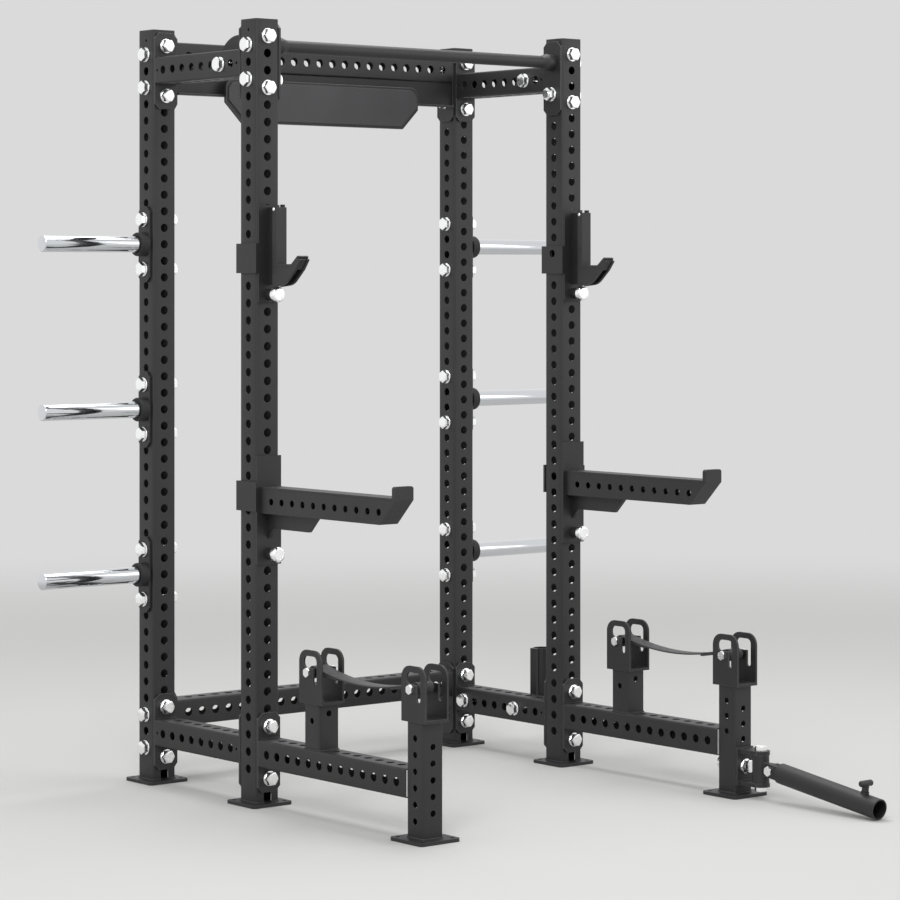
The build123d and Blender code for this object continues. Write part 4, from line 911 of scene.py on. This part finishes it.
for side, sign in (("left", -1), ("right", 1)):
    front, rear = [middle for middle, _ in rollers if middle.x * sign > 0]
    begin, free, lean, level, slope = sagging_run(rear.y - front.y, loop_radius)
    end = strap_end(loop_radius, lean, level, slope)
    run = [(d, level(d)) for d in (begin + free * i / RUN_STEPS for i in range(1, RUN_STEPS))]
    path = [(rear.y - d, rear.z + h) for d, h in end + run]
    path += [(front.y + d, front.z + h) for d, h in reversed(end)]
    mesh, length = ribbon(path, WEB_WIDTH, WEB_THICK, front.x, f"strap_{side}_webbing", webbing)
    strap = settle(link(f"strap_{side}_webbing", mesh), "rack", "nylon_webbing", f"strap_{side}")
    wide = WEB_WIDTH / 2 - SEAM_INSET
    near, far = LOOP_REACH + SEAM_INSET, LOOP_REACH + TAIL - SEAM_INSET
    corners = [(-wide, near), (wide, near), (wide, far), (-wide, far)]
    seams = [(corners[i], corners[(i + 1) % 4]) for i in range(4)]
    seams += [(corners[0], corners[2]), (corners[1], corners[3])]
    spots = []
    for (x0, d0), (x1, d1) in seams:
        count = int(Vector((x1 - x0, d1 - d0)).length / STITCH)
        for i in range(count):
            t = (i + 0.5) / count
            x, d = x0 + (x1 - x0) * t, d0 + (d1 - d0) * t
            rise = slope(d) * (d1 - d0)
            for lift in (WEB_THICK / 2, -1.5 * WEB_THICK):
                z = level(d) + lift
                spots.append(((front.x + x, rear.y - d, rear.z + z), (x1 - x0, d0 - d1, rise), 0.0))
                spots.append(((front.x + x, front.y + d, front.z + z), (x1 - x0, d1 - d0, rise), 0.0))
    mesh = form(stitch_tree, {"Length": STITCH, "Radius": STITCH_RADIUS, "Finish": thread}, marks(spots))
    mesh.shade_smooth()
    stitches = settle(link(f"strap_{side}_stitches", mesh), "rack", "nylon_webbing")
eased_copy("strap_pins", HEX_EDGE, zinc, "bright_zinc")
roller_meshes = []
bore, rim = roller_radius - ROLLER_WALL, roller_radius - ROLLER_EDGE
for middle, size in rollers:
    place = Matrix.Translation(middle - Vector((size.x / 2, 0, 0))) @ along_x
    profile = [(bore, 0), (rim, 0), (roller_radius, ROLLER_EDGE), (roller_radius, size.x - ROLLER_EDGE),
               (rim, size.x), (bore, size.x), (bore, 0)]
    roller_meshes.append(turned(profile, place, rubber, "roller", ROLLER_STEPS))
roller_set = link("strap_rollers_rubber", joined("strap_rollers_rubber", roller_meshes))
settle(roller_set, "rack", "black_rubber", "strap_rollers")


# Barbell holder: an open steel tube that a bar stands in, welded to a plate. The plate is bolted
# outside the lower right side tube, and both are coated with the frame.
eased_copy("barbell_holder", HOLE_EDGE, black_coat, "powder_coat")


# Landmine: a welded clevis on the right front post, a barrel that swings on its zinc bolt, and a
# bar sleeve that tips on a second bolt and clamps the bar with a T screw.
eased_copy("landmine_bracket", HOLE_EDGE, black_coat, "powder_coat")
eased_copy("landmine_swivel_bolt", HOLE_EDGE, zinc, "bright_zinc")
eased_copy("landmine_barrel", HOLE_EDGE, black_coat, "powder_coat", "landmine_swivel")
eased_copy("landmine_hinge_pin", HOLE_EDGE, zinc, "bright_zinc", "landmine_swivel")
eased_copy("landmine_sleeve", HOLE_EDGE, black_coat, "powder_coat", "landmine_tube")
eased_copy("sleeve_thumbscrew", HOLE_EDGE, black_coat, "powder_coat", "thumbscrew")


# Bar hooks and spotter arms: welded plate and tube that wrap the front uprights, each locked by a
# sprung pin with a turned knob, with a wear strip of black plastic where the bar lands.
KNOB_RADIUS = 0.0225
KNOB_LENGTH = 0.024
KNOB_ROUND = 0.007
KNOB_STEPS = 56
KNOB_TURN = 30
DISH_RIM = 0.002
DISH_FOOT = 0.0025
DISH_DEPTH = 0.0006
PIN_RADIUS = 0.012
PIN_EDGE = 0.002
STEM_RADIUS = 0.006
STEM_LENGTH = 0.027
RIVET_RADIUS = 0.0055
RIVET_RISE = 0.003
RIVET_ROOT = 0.001
RIVET_DROP = 0.014
RIVET_DEPTH = 0.0545
RIVET_STEPS = 24
HOOK_HALF = 0.018
QUARTER = [pi / 2 * i / 6 for i in range(7)]
wear_plastic = dull_polymer("black wear plastic", "#1f1f20", "#29292a", 0.0025, 0.05, 0.55)
front_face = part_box("upright_front_left")[0].y
for side in ("left", "right"):
    for kind, body, pin_body in (("bar_hook", f"hook_{side}", f"hook_pin_{side}"),
                                 ("spotter_arm", "rack", f"arm_pin_{side}")):
        eased_copy(f"{kind}_{side}", HOLE_EDGE, black_coat, "powder_coat", body)
        eased_copy(f"{kind}_liner_{side}", HOLE_EDGE, wear_plastic, "black_plastic", body)
        pin = f"{kind}_pin_{side}"
        low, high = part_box(pin)
        inner_end = Vector(((low.x + high.x) / 2, high.y, (low.z + high.z) / 2))
        place = Matrix.Translation(inner_end) @ Matrix.Rotation(pi / 2, 4, "X")
        face = high.y - low.y
        neck = face - KNOB_LENGTH
        shoulder = neck - STEM_LENGTH
        inner = KNOB_RADIUS - KNOB_ROUND
        profile = [(0, 0), (PIN_RADIUS - PIN_EDGE, 0), (PIN_RADIUS, PIN_EDGE), (PIN_RADIUS, shoulder),
                   (STEM_RADIUS, shoulder), (STEM_RADIUS, neck)]
        profile += [(inner + KNOB_ROUND * sin(a), neck + KNOB_ROUND * (1 - cos(a))) for a in QUARTER]
        profile += [(inner + KNOB_ROUND * cos(a), face - KNOB_ROUND * (1 - sin(a))) for a in QUARTER]
        profile += [(inner - DISH_RIM, face), (inner - DISH_FOOT, face - DISH_DEPTH), (0, face - DISH_DEPTH)]
        knob = turned(profile, place, zinc, pin + "_turned", KNOB_STEPS, KNOB_TURN)
        settle(link(pin + "_turned", knob), pin_body, "bright_zinc", pin)
    low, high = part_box(f"bar_hook_{side}")
    profile = [(0, -RIVET_ROOT), (RIVET_RADIUS, -RIVET_ROOT)]
    profile += [(RIVET_RADIUS * cos(a), RIVET_RISE * sin(a)) for a in QUARTER[:-1]] + [(0, RIVET_RISE)]
    heads = []
    for sign in (-1, 1):
        across = (low.x + high.x) / 2 + sign * HOOK_HALF
        spot = Vector((across, front_face - RIVET_DEPTH, high.z - RIVET_DROP))
        aim = Matrix.Translation(spot) @ Matrix.Rotation(sign * pi / 2, 4, "Y")
        heads.append(turned(profile, aim, zinc, "rivet", RIVET_STEPS))
    rivets = link(f"bar_hook_rivets_{side}", joined(f"bar_hook_rivets_{side}", heads))
    settle(rivets, f"hook_{side}", "bright_zinc")


# Stage: a pale painted floor that fades into the backdrop, three large soft lamps, and a level camera
# with a long lens, as in a catalogue picture.
CAMERA_PLACE = (-5.8391, -6.8769, 1.5273)
CAMERA_TURN = -39.458
CAMERA_LENS = 122.91
CAMERA_SENSOR = 36.0
CAMERA_DROP = -0.1908
BACKDROP = "#fcfcfc"
DAYLIGHT = 0.5
SHOWN = 0.72
GLARE = 1.0
FLOOR_HALF = 60
FLOOR_NEAR = 2.6
FLOOR_FAR = 8.5


def backdrop_power(tree):
    """The backdrop's strength: pale where it is seen, white in a reflection, and dim as a light."""
    ray = grow(tree, "ShaderNodeLightPath").outputs
    mirrored = grow(tree, "ShaderNodeMath", {0: ray["Is Glossy Ray"], 1: ray["Is Transmission Ray"]},
                    operation="MAXIMUM").outputs[0]
    shown = grow(tree, "ShaderNodeMapRange", {0: ray["Is Camera Ray"], 3: DAYLIGHT, 4: SHOWN}).outputs[0]
    return grow(tree, "ShaderNodeMapRange", {0: mirrored, 3: shown, 4: GLARE}).outputs[0]


floor_mesh = bpy.data.meshes.new("floor")
floor_mesh.from_pydata([(x * FLOOR_HALF, y * FLOOR_HALF, 0) for x, y in ((-1, -1), (1, -1), (1, 1), (-1, 1))],
                       [], [(0, 1, 2, 3)])
paint, tree, shader, place = blank_finish("pale floor paint")
feed(tree, shader, {"Base Color": linear("#cacac8"), "Roughness": 0.9})
away = grow(tree, "ShaderNodeVectorMath", {0: place}, operation="LENGTH")
fade = grow(tree, "ShaderNodeMapRange", {0: away.outputs["Value"], 1: FLOOR_NEAR, 2: FLOOR_FAR},
            interpolation_type="SMOOTHSTEP")
haze = grow(tree, "ShaderNodeEmission", {"Color": linear(BACKDROP), "Strength": backdrop_power(tree)})
blend = grow(tree, "ShaderNodeMixShader", {0: fade.outputs[0], 1: shader.outputs[0], 2: haze.outputs[0]})
feed(tree, tree.nodes["Material Output"], {0: blend.outputs[0]})
floor_mesh.materials.append(paint)
link("floor", floor_mesh)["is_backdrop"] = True
world = bpy.data.worlds.new("studio")
world.use_nodes = True
tree = world.node_tree
feed(tree, tree.nodes["Background"], {"Color": linear(BACKDROP), "Strength": backdrop_power(tree)})
bpy.context.scene.world = world
for name, place, aim, size, watts in (("key", (-4.5, -4.0, 5.0), (0, 0.2, 1.1), 3.0, 220),
                                      ("fill", (4.5, -4.5, 3.5), (0, 0.2, 1.0), 3.5, 60),
                                      ("top", (0.5, 1.0, 6.0), (0, 0.2, 1.0), 4.0, 220)):
    lamp = bpy.data.lights.new(name, "AREA")
    lamp.size = size
    lamp.energy = watts
    holder = bpy.data.objects.new(name, lamp)
    holder.location = place
    holder.rotation_euler = (Vector(aim) - Vector(place)).to_track_quat("-Z", "Y").to_euler()
    bpy.context.scene.collection.objects.link(holder)
camera = bpy.data.cameras.new("camera")
camera.lens = CAMERA_LENS
camera.sensor_width = CAMERA_SENSOR
camera.shift_y = CAMERA_DROP
viewer = bpy.data.objects.new("camera", camera)
viewer.location = CAMERA_PLACE
viewer.rotation_euler = (pi / 2, 0, radians(CAMERA_TURN))
bpy.context.scene.collection.objects.link(viewer)
bpy.context.scene.camera = viewer
bpy.context.scene.view_settings.view_transform = "Standard"

low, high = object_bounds()
